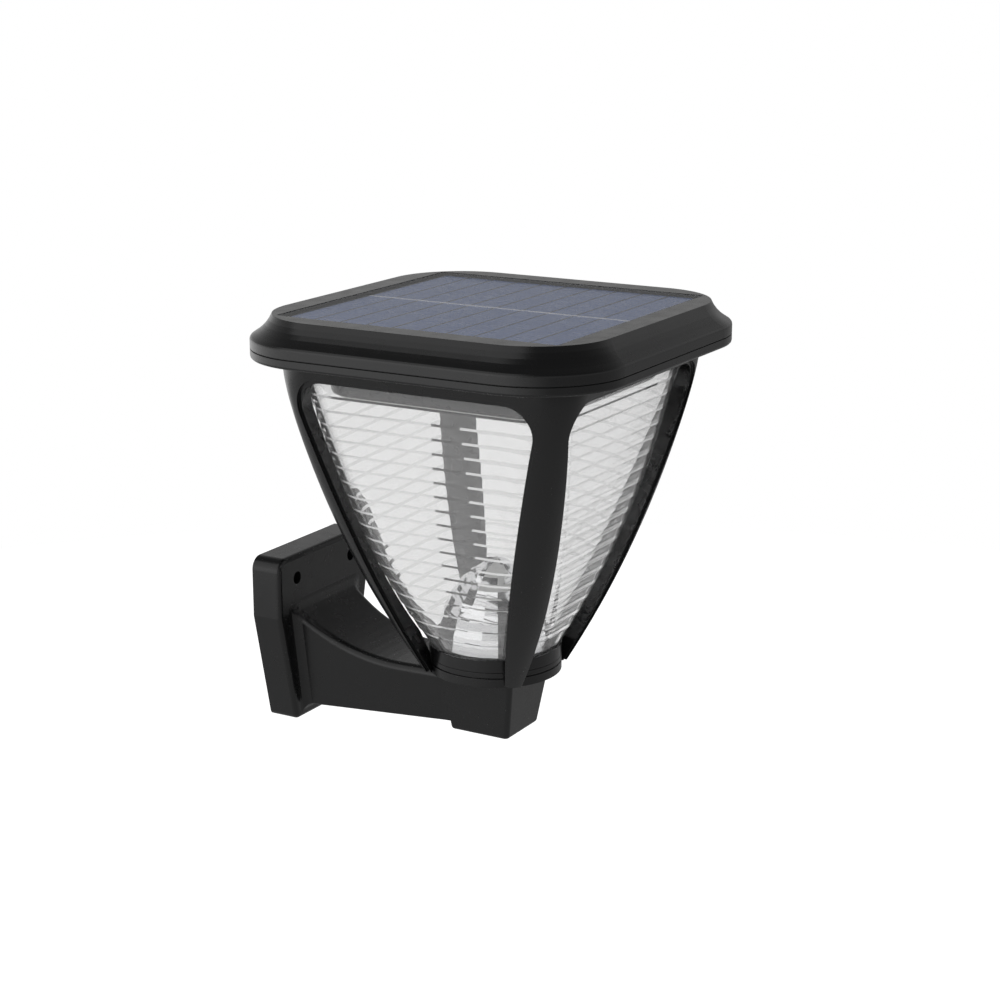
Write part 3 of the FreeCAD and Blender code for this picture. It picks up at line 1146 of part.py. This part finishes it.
def make_switch_lead():
    """Two wires from the switch board's edge, over the cap's floor, down to the control board."""
    level = (SWITCH_BOARD_TOP_DEPTH + SWITCH_BOARD_FOOT_DEPTH) / 2.0
    wires = []
    for x in wire_pair(SWITCH_LEAD_X):
        start = V(x, HEAD_Y - SWITCH_BOARD_BACK, height(level))
        bend_start = V(x, HEAD_Y + SWITCH_LEAD_DROP_Y - SWITCH_LEAD_BEND, height(level))
        turn = SWITCH_LEAD_BEND * (1.0 - math.sqrt(0.5))
        bend_mid = V(x, HEAD_Y + SWITCH_LEAD_DROP_Y - turn, height(level + turn))
        bend_end = V(x, HEAD_Y + SWITCH_LEAD_DROP_Y, height(level + SWITCH_LEAD_BEND))
        end = V(x, HEAD_Y + SWITCH_LEAD_DROP_Y, height(BOARD_TOP_DEPTH))
        path = Part.Wire([Part.LineSegment(start, bend_start).toShape(),
                          Part.Arc(bend_start, bend_mid, bend_end).toShape(),
                          Part.LineSegment(bend_end, end).toShape()])
        circle = Part.Wire([Part.Circle(start, V(0, 1, 0), WIRE_R).toShape()])
        wires.append(path.makePipeShell([circle], True, False))
    return group(wires)


# ---------------------------------------------------------------- mode button
def make_mode_button():
    foot = CAP_DEPTH + BUTTON_PROUD
    push = disc(BUTTON_R, BUTTON_TOP_DEPTH, foot, 0.0, -BUTTON_OUT)
    rim = [edge for edge in push.Edges if edge.BoundBox.ZMax < height(foot) + 1e-3]
    push = push.makeFillet(BUTTON_ROUND, rim)
    flange = disc(BUTTON_FLANGE_R, BUTTON_TOP_DEPTH, BUTTON_TOP_DEPTH + BUTTON_FLANGE_THICK,
                  0.0, -BUTTON_OUT)
    return join([push, flange])


def make_button_seal():
    return ring(BUTTON_FLANGE_R, BUTTON_R + BUTTON_CLEARANCE, FLOOR_TOP_DEPTH - SEAL_THICK,
                FLOOR_TOP_DEPTH, 0.0, -BUTTON_OUT)


def make_mode_switch():
    body = box(-SWITCH_HALF, SWITCH_HALF, -BUTTON_OUT - SWITCH_HALF, -BUTTON_OUT + SWITCH_HALF,
               SWITCH_BOARD_FOOT_DEPTH, SWITCH_FOOT_DEPTH)
    plunger = disc(PLUNGER_R, SWITCH_BOARD_FOOT_DEPTH, PLUNGER_FOOT_DEPTH, 0.0, -BUTTON_OUT)
    return join([body, plunger])


def make_switch_board():
    board = box(-SWITCH_BOARD_HALF, SWITCH_BOARD_HALF, -SWITCH_BOARD_FRONT, -SWITCH_BOARD_BACK,
                SWITCH_BOARD_TOP_DEPTH, SWITCH_BOARD_FOOT_DEPTH)
    return board.cut(screw_holes(SWITCH_SCREW_PLACES, SMALL_SHANK_R, SWITCH_BOARD_TOP_DEPTH,
                                 SWITCH_BOARD_FOOT_DEPTH))


def make_switch_board_screws():
    return upright_screws(SWITCH_SCREW_PLACES, SWITCH_BOARD_TOP_DEPTH, SWITCH_SCREW_LENGTH,
                          False, SMALL_SCREW)


# ---------------------------------------------------------------- nodes
NODES = {
    "wall_bracket": make_wall_bracket,
    "base_block": make_base_block,
    "bracket_screws": make_bracket_screws,
    "base_collar": make_base_collar,
    "collar_screws": make_collar_screws,
    "cone_reflector": make_cone_reflector,
    "reflector_screw": make_reflector_screw,
    "lens_gasket": make_lens_gasket,
    "lens": make_lens,
    "cage": make_cage,
    "neck_gasket": make_neck_gasket,
    "cage_screws": make_cage_screws,
    "cap_lower_shell": make_cap_lower_shell,
    "cap_gasket": make_cap_gasket,
    "cap_upper_shell": make_cap_upper_shell,
    "cap_screws": make_cap_screws,
    "panel_base": make_panel_base,
    "solar_cells": make_solar_cells,
    "cell_ribbon": make_cell_ribbon,
    "ribbon_joints": make_ribbon_joints,
    "panel_glaze": make_panel_glaze,
    "led_housing": make_led_housing,
    "housing_screws": make_housing_screws,
    "led_cover": make_led_cover,
    "component_tray": make_component_tray,
    "tray_screws": make_tray_screws,
    "led_board": make_led_board,
    "leds": make_leds,
    "led_board_screws": make_led_board_screws,
    "battery_cell": make_battery_cell,
    "battery_contacts": make_battery_contacts,
    "control_board": make_control_board,
    "board_parts": make_board_parts,
    "control_board_screws": make_control_board_screws,
    "panel_lead": make_panel_lead,
    "led_lead": make_led_lead,
    "switch_lead": make_switch_lead,
    "mode_button": make_mode_button,
    "button_seal": make_button_seal,
    "mode_switch": make_mode_switch,
    "switch_board": make_switch_board,
    "switch_board_screws": make_switch_board_screws,
}

os.makedirs("parts", exist_ok=True)
for name, make in NODES.items():
    make().exportStep("parts/" + name + ".step")
    print("made", name)
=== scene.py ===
import json
import math

import bpy
from mathutils import Matrix, Vector


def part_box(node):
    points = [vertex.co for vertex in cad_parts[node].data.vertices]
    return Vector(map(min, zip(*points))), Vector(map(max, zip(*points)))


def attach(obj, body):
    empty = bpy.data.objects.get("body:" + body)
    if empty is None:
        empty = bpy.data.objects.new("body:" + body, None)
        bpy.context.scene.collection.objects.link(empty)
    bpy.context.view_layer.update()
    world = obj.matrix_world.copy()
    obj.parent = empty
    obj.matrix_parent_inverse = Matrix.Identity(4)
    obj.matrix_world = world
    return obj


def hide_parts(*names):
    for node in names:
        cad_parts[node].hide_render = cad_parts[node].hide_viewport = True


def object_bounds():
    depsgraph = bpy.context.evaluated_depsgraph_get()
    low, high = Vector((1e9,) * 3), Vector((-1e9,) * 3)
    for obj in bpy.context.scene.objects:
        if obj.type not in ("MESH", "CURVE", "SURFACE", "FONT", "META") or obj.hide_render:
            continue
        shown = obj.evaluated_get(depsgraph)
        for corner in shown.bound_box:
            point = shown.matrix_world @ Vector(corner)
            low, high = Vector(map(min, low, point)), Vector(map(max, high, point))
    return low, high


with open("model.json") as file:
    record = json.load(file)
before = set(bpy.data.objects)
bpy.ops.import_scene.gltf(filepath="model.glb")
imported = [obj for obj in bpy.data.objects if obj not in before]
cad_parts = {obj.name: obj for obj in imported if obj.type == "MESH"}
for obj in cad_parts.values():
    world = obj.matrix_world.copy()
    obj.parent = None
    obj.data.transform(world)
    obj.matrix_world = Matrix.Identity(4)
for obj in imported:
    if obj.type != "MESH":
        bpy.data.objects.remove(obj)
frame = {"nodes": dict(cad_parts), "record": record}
CAD_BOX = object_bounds()
MIDDLE = (CAD_BOX[0] + CAD_BOX[1]) / 2.0
NODES = frame["nodes"]
SLOT_OF = {part["node"]: part["material_slot"] for part in frame["record"]["subparts"]}

# ---------------------------------------------------------------- sizes, in metres
CAMERA_PLACE = Vector((-0.6816, -0.4886, 0.2494))
CAMERA_BACK = Vector((-0.8365, -0.4830, 0.2588))    # against the view direction
CAMERA_LENS = 76.9                  # millimetres
CAMERA_SENSOR = 36.0                # millimetres
CAMERA_CLIP = (0.01, 100.0)

KEY_OFFSET = Vector((-1.15, 0.5, 0.8))              # from the middle of the part
KEY_SIZE = 2.0
KEY_POWER = 7.0                     # watts

FLOOR_DROP = 0.22                   # below the lowest point of the part
FLOOR_RADIUS = 1.1
FLOOR_SIDES = 96

LENS_FOOT_R = 0.024
LENS_TOP_CORNER_R = 0.015
LENS_FOOT_FLAT = 0.0004
LENS_WALL = 0.002
LENS_INNER_STEPS = 24
LENS_SHARP = 12.0                   # degrees; sharper edges are shaded as edges
RIB_START = 0.007                   # first step below the lens's top
RIB_PITCH = 0.0056
RIB_LEDGE = 0.0011
RIB_STEP = 0.0004
BULGE = 0.0047                      # bow of the sides past a straight taper
BULGE_SKEW = 0.33                   # moves its fullest place downwards
CORNER_STEPS = 20

CONE_HEIGHT = 0.0327
CONE_SHOULDER = (0.014, 0.0101)     # radius, and drop below the tip
CONE_RIM_R = 0.0217
CONE_FACETS = 22
CONE_RINGS = 13
CONE_SHARP = 1.0                    # degrees
CONE_SKIN_START = 0.04              # share of the bell's curve left bare at the tip
CONE_SKIN_SPAN = 0.9                # share of it that the facets cover
CONE_SKIN_DEPTH = 0.0004            # the skin's inner side, under the cone's face
CONE_PROUD = (0.00012, 0.0005)      # by turns, so the facets tilt up and down

# ---------------------------------------------------------------- looks
FLOOR_GREY = 0.85
FLOOR_GLOW = 0.95                   # added for rays that should see a white background
GLOSSY_SHARE = 0.15                 # share of that glow in reflections

BRIGHT_SIDE = (-0.5, 0.866, 0.0)    # towards the brighter side of the studio
BRIGHT_FROM, BRIGHT_TO = -0.2, 0.6  # cosines to that side; the dim sky turns bright between them

# Sine of the elevation, and the sky's grey there.
UPPER_LEVELS = [(0.5, 0.24), (0.72, 0.13), (1.0, 0.11)]
BRIGHT_LEVELS = [(-1.0, 1.3), (0.0, 1.2), (0.12, 0.7), (0.26, 0.46)] + UPPER_LEVELS
DIM_LEVELS = [(-1.0, 0.3), (0.0, 0.3), (0.12, 0.42), (0.26, 0.5)] + UPPER_LEVELS

NOISE_LOW, NOISE_HIGH = 0.3, 0.7    # where most of a noise's values lie
PLASTIC_IOR = 1.5
SOFT_EDGE = 0.0003                  # radius of the softened edges, in metres
GLOSS_SPREAD = 0.03
HAZE = 0.015                        # mean roughness of the clear plastic
CLEARNESS = 0.93
CELL_STRIPS = 10
STRIP_HALF = 0.455                  # blue half of a strip, as a share of the strip
FINGER_CREST = 0.985                # part of the wave that is printed metal

# Slot: dark tone, light tone, roughness.
MOULDED = {
    "black_plastic": ((0.0048, 0.0049, 0.0052), (0.0078, 0.0079, 0.0083), 0.26),
    "button_plastic": ((0.02, 0.02, 0.021), (0.03, 0.03, 0.031), 0.5),
    "milky_plastic": ((0.80, 0.80, 0.78), (0.86, 0.86, 0.84), 0.3),
    "white_plastic": ((0.55, 0.55, 0.55), (0.62, 0.62, 0.615), 0.35),
    "gasket_rubber": ((0.006, 0.006, 0.006), (0.01, 0.01, 0.01), 0.6),
    "panel_board": ((0.008, 0.009, 0.013), (0.014, 0.015, 0.021), 0.4),
    "battery_case": ((0.01, 0.06, 0.2), (0.014, 0.075, 0.25), 0.3),
    "white_board": ((0.66, 0.66, 0.65), (0.74, 0.74, 0.73), 0.4),
    "green_board": ((0.004, 0.045, 0.012), (0.007, 0.06, 0.018), 0.32),
    "board_black": ((0.006, 0.006, 0.006), (0.012, 0.012, 0.012), 0.45),
    "led_phosphor": ((0.78, 0.55, 0.08), (0.88, 0.65, 0.12), 0.3),
    "wire_insulation": ((0.16, 0.004, 0.004), (0.22, 0.006, 0.006), 0.45),
}
# Slot: dark tone, light tone, roughness, metallic, stretch of the noise.
METALS = {
    "silvered_plastic": ((0.80, 0.805, 0.815), (0.88, 0.885, 0.895), 0.05),
    "tinned_metal": ((0.93, 0.93, 0.93), (0.97, 0.97, 0.97), 0.22, 0.9),
    "screw_steel": ((0.46, 0.46, 0.47), (0.60, 0.60, 0.61), 0.28, 1.0, (1.0, 1.0, 0.2)),
    "contact_steel": ((0.58, 0.57, 0.53), (0.68, 0.67, 0.63), 0.3),
}


# ---------------------------------------------------------------- node helpers
class Graph:
    """Short names for building one shader's nodes."""

    def __init__(self, owner):
        owner.use_nodes = True
        self.tree = owner.node_tree
        self.tree.nodes.clear()

    def node(self, kind, sockets=None, **settings):
        """Adds a node; sockets gives the value or the source of each input, by name or index."""
        made = self.tree.nodes.new(kind)
        for key, value in settings.items():
            setattr(made, key, value)
        for key, value in (sockets or {}).items():
            socket = made.inputs[key]
            if isinstance(value, bpy.types.NodeSocket):
                self.tree.links.new(value, socket)
            elif socket.type == "RGBA":
                socket.default_value = (*value, 1.0)
            else:
                socket.default_value = value
        return made

    def place(self):
        return self.node("ShaderNodeTexCoord").outputs["Object"]

    def noise(self, scale, detail=2.0, roughness=0.5, stretch=(1.0, 1.0, 1.0)):
        """Noise through the piece's own space; scale is in cells per metre."""
        mapping = self.node("ShaderNodeMapping", {"Vector": self.place(), "Scale": stretch})
        made = self.node("ShaderNodeTexNoise", {
            "Vector": mapping.outputs["Vector"],
            "Scale": scale,
            "Detail": detail,
            "Roughness": roughness})
        return made.outputs["Fac"]

    def spread(self, value, low, high):
        """Maps the middle of a noise onto a range."""
        made = self.node("ShaderNodeMapRange", {
            "Value": value,
            "From Min": NOISE_LOW,
            "From Max": NOISE_HIGH,
            "To Min": low,
            "To Max": high})
        return made.outputs["Result"]

    def colours(self, share, first, second, **settings):
        """Mixes two colours, each three numbers or a socket."""
        made = self.node("ShaderNodeMix", data_type="RGBA", **settings, sockets={
            "Factor": share, "A": first, "B": second})
        return made.outputs["Result"]

    def math(self, operation, *values):
        made = self.node("ShaderNodeMath", dict(enumerate(values)), operation=operation)
        return made.outputs["Value"]

    def bump(self, heights, strength, distance, **normal):
        made = self.node("ShaderNodeBump", {
            "Height": heights, "Strength": strength, "Distance": distance, **normal})
        return made.outputs["Normal"]

    def shaders(self, share, first, second):
        """Mixes two shaders."""
        made = self.node("ShaderNodeMixShader", {"Fac": share, 1: first, 2: second})
        return made.outputs["Shader"]

    def surface(self, output):
        self.node("ShaderNodeOutputMaterial", {"Surface": output})

    def principled_surface(self, **values):
        shader = self.node("ShaderNodeBsdfPrincipled", {
            name.replace("_", " "): value for name, value in values.items()})
        self.surface(shader.outputs["BSDF"])


def new_material(name):
    material = bpy.data.materials.new(name)
    return material, Graph(material)


# ---------------------------------------------------------------- materials
def moulded_plastic(name, dark, light, roughness):
    """Injection-moulded plastic: faint mottling, uneven gloss and a fine spark-eroded grain."""
    material, graph = new_material(name)
    mottling = graph.noise(60.0, detail=4.0, roughness=0.6)
    unevenness = graph.noise(140.0, detail=3.0)
    soft_edges = graph.node("ShaderNodeBevel", {"Radius": SOFT_EDGE}, samples=4)
    graph.principled_surface(
        IOR=PLASTIC_IOR,
        Base_Color=graph.colours(mottling, dark, light),
        Roughness=graph.spread(unevenness, roughness - GLOSS_SPREAD, roughness + GLOSS_SPREAD),
        Normal=graph.bump(graph.noise(2600.0), strength=0.05, distance=0.00005,
                          Normal=soft_edges.outputs["Normal"]))
    return material


def metal(name, dark, light, roughness, metallic=1.0, stretch=(1.0, 1.0, 1.0)):
    material, graph = new_material(name)
    mottling = graph.noise(300.0, detail=4.0, roughness=0.6, stretch=stretch)
    unevenness = graph.noise(500.0, detail=3.0, stretch=stretch)
    graph.principled_surface(
        Metallic=metallic,
        Base_Color=graph.colours(mottling, dark, light),
        Roughness=graph.spread(unevenness, roughness * 0.75, roughness * 1.25),
        Normal=graph.bump(graph.noise(240.0), strength=0.08, distance=0.00005))
    return material


def clear_moulding():
    """Clear plastic with a trace of haze; lamps shine through it."""
    material, graph = new_material("clear_plastic")
    shader = graph.node("ShaderNodeBsdfPrincipled", {
        "IOR": 1.49,
        "Transmission Weight": CLEARNESS,
        "Base Color": (0.865, 0.865, 0.865),
        "Roughness": graph.spread(graph.noise(90.0, detail=3.0), HAZE * 0.5, HAZE * 1.5),
        "Normal": graph.bump(graph.noise(55.0), strength=0.05, distance=0.0002)})
    lit = graph.node("ShaderNodeBsdfTransparent", {"Color": (0.8, 0.8, 0.8)})
    graph.surface(graph.shaders(graph.node("ShaderNodeLightPath").outputs["Is Shadow Ray"],
                                shader.outputs["BSDF"], lit.outputs["BSDF"]))
    return material


def cast_resin():
    """Thin clear coat over the cells, glossier at a slant."""
    material, graph = new_material("panel_resin")
    tint = graph.colours(graph.noise(30.0), (0.93, 0.935, 0.95), (0.96, 0.965, 0.98))
    clear = graph.node("ShaderNodeBsdfTransparent", {"Color": tint})
    gloss = graph.node("ShaderNodeBsdfGlossy", {
        "Roughness": 0.12,
        "Normal": graph.bump(graph.noise(90.0), strength=0.04, distance=0.0001)})
    slant = graph.node("ShaderNodeLayerWeight", {"Blend": 0.5})
    rise = graph.math("POWER", slant.outputs["Facing"], 5.0)
    share = graph.math("ADD", graph.math("MULTIPLY", rise, 0.4), 0.02)
    graph.surface(graph.shaders(share, clear.outputs["BSDF"], gloss.outputs["BSDF"]))
    return material


def silicon():
    """Blue cells: crystal patches, fine printed fingers, and dark edges along the strips."""
    material, graph = new_material("silicon_cells")
    crystals = graph.node("ShaderNodeTexVoronoi", {"Vector": graph.place(), "Scale": 420.0})
    grain = graph.colours(crystals.outputs["Distance"], (0.065, 0.17, 0.50), (0.095, 0.23, 0.60))
    patches = graph.colours(graph.noise(45.0, detail=3.0), (0.75, 0.78, 0.85), (1.0, 1.0, 1.0))
    toned = graph.colours(1.0, grain, patches, blend_type="MULTIPLY")

    waves = graph.node("ShaderNodeTexWave", bands_direction="Y", wave_profile="SIN", sockets={
        "Vector": graph.place(), "Scale": 165.0, "Distortion": 0.0})
    finger = graph.math("GREATER_THAN", waves.outputs["Fac"], FINGER_CREST)
    printed = graph.colours(finger, toned, (0.42, 0.44, 0.5))

    extent = graph.node("ShaderNodeSeparateXYZ", {
        "Vector": graph.node("ShaderNodeTexCoord").outputs["Generated"]})
    strip = graph.math("FRACT", graph.math("MULTIPLY", extent.outputs["Y"], CELL_STRIPS))
    off_middle = graph.math("ABSOLUTE", graph.math("SUBTRACT", strip, 0.5))
    edge = graph.math("GREATER_THAN", off_middle, STRIP_HALF)
    graph.principled_surface(
        IOR=1.3,
        Metallic=0.0,
        Base_Color=graph.colours(edge, printed, (0.02, 0.022, 0.03)),
        Roughness=graph.spread(graph.noise(200.0, detail=3.0), 0.24, 0.34))
    return material


MATERIALS = {
    **{name: moulded_plastic(name, *look) for name, look in MOULDED.items()},
    **{name: metal(name, *look) for name, look in METALS.items()},
    "clear_plastic": clear_moulding(),
    "panel_resin": cast_resin(),
    "silicon_cells": silicon(),
}


def dress(piece, slot):
    piece.data.materials.clear()
    piece.data.materials.append(MATERIALS[slot])


for node_name, node_piece in NODES.items():
    dress(node_piece, SLOT_OF[node_name])


# ---------------------------------------------------------------- mesh helpers
def add_object(name, data):
    added = bpy.data.objects.new(name, data)
    bpy.context.scene.collection.objects.link(added)
    return added


def circle(centre, radius, sides, z):
    """Points of a level regular polygon, anticlockwise."""
    points = []
    for step in range(sides):
        angle = 2.0 * math.pi * step / sides
        points.append((centre.x + radius * math.cos(angle), centre.y + radius * math.sin(angle), z))
    return points


def rounded_square(half, radius, centre, z):
    """Points of a level square with rounded corners, anticlockwise."""
    straight = half - radius
    points = []
    for quarter in range(4):
        turn = math.pi / 2.0 * quarter
        cos, sin = math.cos(turn), math.sin(turn)
        corner = Vector((cos - sin, sin + cos)) * straight
        for step in range(CORNER_STEPS + 1):
            angle = turn + math.pi / 2.0 * step / CORNER_STEPS
            points.append((centre.x + corner.x + radius * math.cos(angle),
                           centre.y + corner.y + radius * math.sin(angle), z))
    return points


def rings_mesh(name, rings, sharp_angle):
    """Closed skin through rings of equal length; the last ring joins the first."""
    count = len(rings[0])
    points = [point for ring in rings for point in ring]
    faces = []
    for index in range(len(rings)):
        here = index * count
        after = (index + 1) % len(rings) * count
        for step in range(count):
            following = (step + 1) % count
            faces.append((here + step, here + following, after + following, after + step))
    mesh = bpy.data.meshes.new(name)
    mesh.from_pydata(points, [], faces)
    mesh.validate()
    mesh.shade_smooth()
    mesh.set_sharp_from_angle(angle=math.radians(sharp_angle))
    return add_object(name, mesh)


# ---------------------------------------------------------------- lens
def make_lens():
    """The clear shade: stepped outside, smooth inside, square above and round below."""
    low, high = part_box("lens")
    centre = (low + high) / 2.0
    top_half = (high.x - low.x) / 2.0
    foot_corner_r = LENS_FOOT_R - LENS_FOOT_FLAT
    tall = high.z - low.z

    def section(drop, grow):
        share = drop / tall
        bow = BULGE * (1.0 + BULGE_SKEW * (2.0 * share - 1.0)) * 4.0 * share * (1.0 - share)
        half = top_half + (LENS_FOOT_R - top_half) * share + bow + grow
        radius = LENS_TOP_CORNER_R + (foot_corner_r - LENS_TOP_CORNER_R) * share + grow
        return rounded_square(half, radius, centre, high.z - drop)

    outside = [section(0.0, 0.0)]
    drop = RIB_START
    while drop + RIB_PITCH < tall:
        outside.append(section(drop, -RIB_STEP))
        outside.append(section(drop + RIB_PITCH - RIB_LEDGE, 0.0))
        drop += RIB_PITCH
    outside.append(section(tall, 0.0))
    inside = [section(tall * (1.0 - step / LENS_INNER_STEPS), -LENS_WALL)
              for step in range(LENS_INNER_STEPS + 1)]
    shade = rings_mesh("lens_shade", list(reversed(outside + inside)), LENS_SHARP)
    dress(shade, "clear_plastic")
    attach(shade, "head")
    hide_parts("lens")


# ---------------------------------------------------------------- facets of the reflector
def circle_through(first, second, third):
    """Centre of the circle through three flat points."""
    ax, ay = second[0] - first[0], second[1] - first[1]
    bx, by = third[0] - first[0], third[1] - first[1]
    twice_area = 2.0 * (ax * by - ay * bx)
    x = (by * (ax * ax + ay * ay) - ay * (bx * bx + by * by)) / twice_area
    y = (ax * (bx * bx + by * by) - bx * (ax * ax + ay * ay)) / twice_area
    return first[0] + x, first[1] + y


def make_cone_facets():
    """Silvered skin of flat facets on the bell of the reflector."""
    low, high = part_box("cone_reflector")
    centre = (low + high) / 2.0
    tip, rim = (0.0, 0.0), (CONE_RIM_R, CONE_HEIGHT)
    middle = circle_through(tip, CONE_SHOULDER, rim)
    radius = math.hypot(*middle)
    start = math.atan2(tip[1] - middle[1], tip[0] - middle[0])
    end = math.atan2(rim[1] - middle[1], rim[0] - middle[0])
    sweep = math.remainder(end - start, 2.0 * math.pi)
    corner_reach = 1.0 / math.cos(math.pi / CONE_FACETS)

    def facet_ring(share, grow):
        angle = start + sweep * share
        out = (middle[0] + (radius + grow) * math.cos(angle)) * corner_reach
        drop = middle[1] + (radius + grow) * math.sin(angle)
        return circle(centre, out, CONE_FACETS, high.z - drop)

    shares = [CONE_SKIN_START + CONE_SKIN_SPAN * step / CONE_RINGS
              for step in range(CONE_RINGS + 1)]
    outside = [facet_ring(share, CONE_PROUD[step % 2]) for step, share in enumerate(shares)]
    inside = [facet_ring(share, -CONE_SKIN_DEPTH) for share in reversed(shares)]
    skin = rings_mesh("cone_facets", list(reversed(outside + inside)), CONE_SHARP)
    dress(skin, "silvered_plastic")
    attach(skin, "head")


make_lens()
make_cone_facets()


# ---------------------------------------------------------------- camera, stage and light
def add_camera():
    data = bpy.data.cameras.new("camera")
    data.lens = CAMERA_LENS
    data.sensor_width = CAMERA_SENSOR
    data.clip_start, data.clip_end = CAMERA_CLIP
    camera = add_object("camera", data)
    right = Vector((-CAMERA_BACK.y, CAMERA_BACK.x, 0.0)).normalized()
    up = CAMERA_BACK.cross(right).normalized()
    turn = Matrix((right, up, CAMERA_BACK.normalized())).transposed()
    camera.matrix_world = Matrix.Translation(CAMERA_PLACE) @ turn.to_4x4()
    bpy.context.scene.camera = camera


def background_share(graph, glossy_share):
    """1 for rays from the camera or through clear parts, glossy_share for mirrored ones."""
    path = graph.node("ShaderNodeLightPath").outputs
    direct = graph.math("MAXIMUM", path["Is Camera Ray"], path["Is Transmission Ray"])
    mirrored = graph.math("MULTIPLY", path["Is Glossy Ray"], glossy_share)
    return graph.math("MAXIMUM", direct, mirrored)


def add_floor():
    """Round pale floor under the part, wide enough to fill the view behind it."""
    mesh = bpy.data.meshes.new("floor")
    rim = circle(MIDDLE, FLOOR_RADIUS, FLOOR_SIDES, CAD_BOX[0].z - FLOOR_DROP)
    mesh.from_pydata(rim, [], [tuple(range(FLOOR_SIDES))])
    floor = add_object("floor", mesh)
    material, graph = new_material("floor")
    paint = graph.node("ShaderNodeBsdfDiffuse", {"Color": (FLOOR_GREY, FLOOR_GREY, FLOOR_GREY)})
    strength = graph.math("MULTIPLY", background_share(graph, GLOSSY_SHARE), FLOOR_GLOW)
    glow = graph.node("ShaderNodeEmission", {"Strength": strength})
    both = graph.node("ShaderNodeAddShader", {
        0: paint.outputs["BSDF"], 1: glow.outputs["Emission"]})
    graph.surface(both.outputs["Shader"])
    mesh.materials.append(material)


def level_ramp(graph, rise, levels):
    """Grey of the sky; rise is 0 straight down and 1 straight up."""
    ramp = graph.node("ShaderNodeValToRGB", {"Fac": rise})
    elements = ramp.color_ramp.elements
    while len(elements) < len(levels):
        elements.new(0.5)
    for element, (sine, level) in zip(elements, levels):
        element.position = (sine + 1.0) / 2.0
        element.color = (level, level, level, 1.0)
    return ramp.outputs["Color"]


def add_world():
    """A studio, dim overhead, with one side bright at the horizon and below; white behind."""
    world = bpy.data.worlds.new("studio")
    bpy.context.scene.world = world
    graph = Graph(world)
    way = graph.node("ShaderNodeTexCoord").outputs["Generated"]
    split = graph.node("ShaderNodeSeparateXYZ", {"Vector": way})
    rise = graph.node("ShaderNodeMapRange", {
        "Value": split.outputs["Z"], "From Min": -1.0}).outputs["Result"]
    side = graph.node("ShaderNodeVectorMath", {0: way, 1: BRIGHT_SIDE}, operation="DOT_PRODUCT")
    brightness = graph.node("ShaderNodeMapRange", {
        "Value": side.outputs["Value"], "From Min": BRIGHT_FROM, "From Max": BRIGHT_TO})
    sky = graph.colours(brightness.outputs["Result"], level_ramp(graph, rise, DIM_LEVELS),
                        level_ramp(graph, rise, BRIGHT_LEVELS))
    shine = graph.node("ShaderNodeBackground", {"Color": sky})
    white = graph.node("ShaderNodeBackground", {"Color": (1.0, 1.0, 1.0)})
    mix = graph.shaders(background_share(graph, 0.0),
                        shine.outputs["Background"], white.outputs["Background"])
    graph.node("ShaderNodeOutputWorld", {"Surface": mix})


def add_key_light():
    data = bpy.data.lights.new("key", "AREA")
    data.shape = "DISK"
    data.size = KEY_SIZE
    data.energy = KEY_POWER
    light = add_object("key", data)
    light.location = MIDDLE + KEY_OFFSET
    light.rotation_euler = KEY_OFFSET.to_track_quat("Z", "Y").to_euler()


add_camera()
add_floor()
add_world()
add_key_light()
bpy.context.scene.view_settings.view_transform = "Standard"
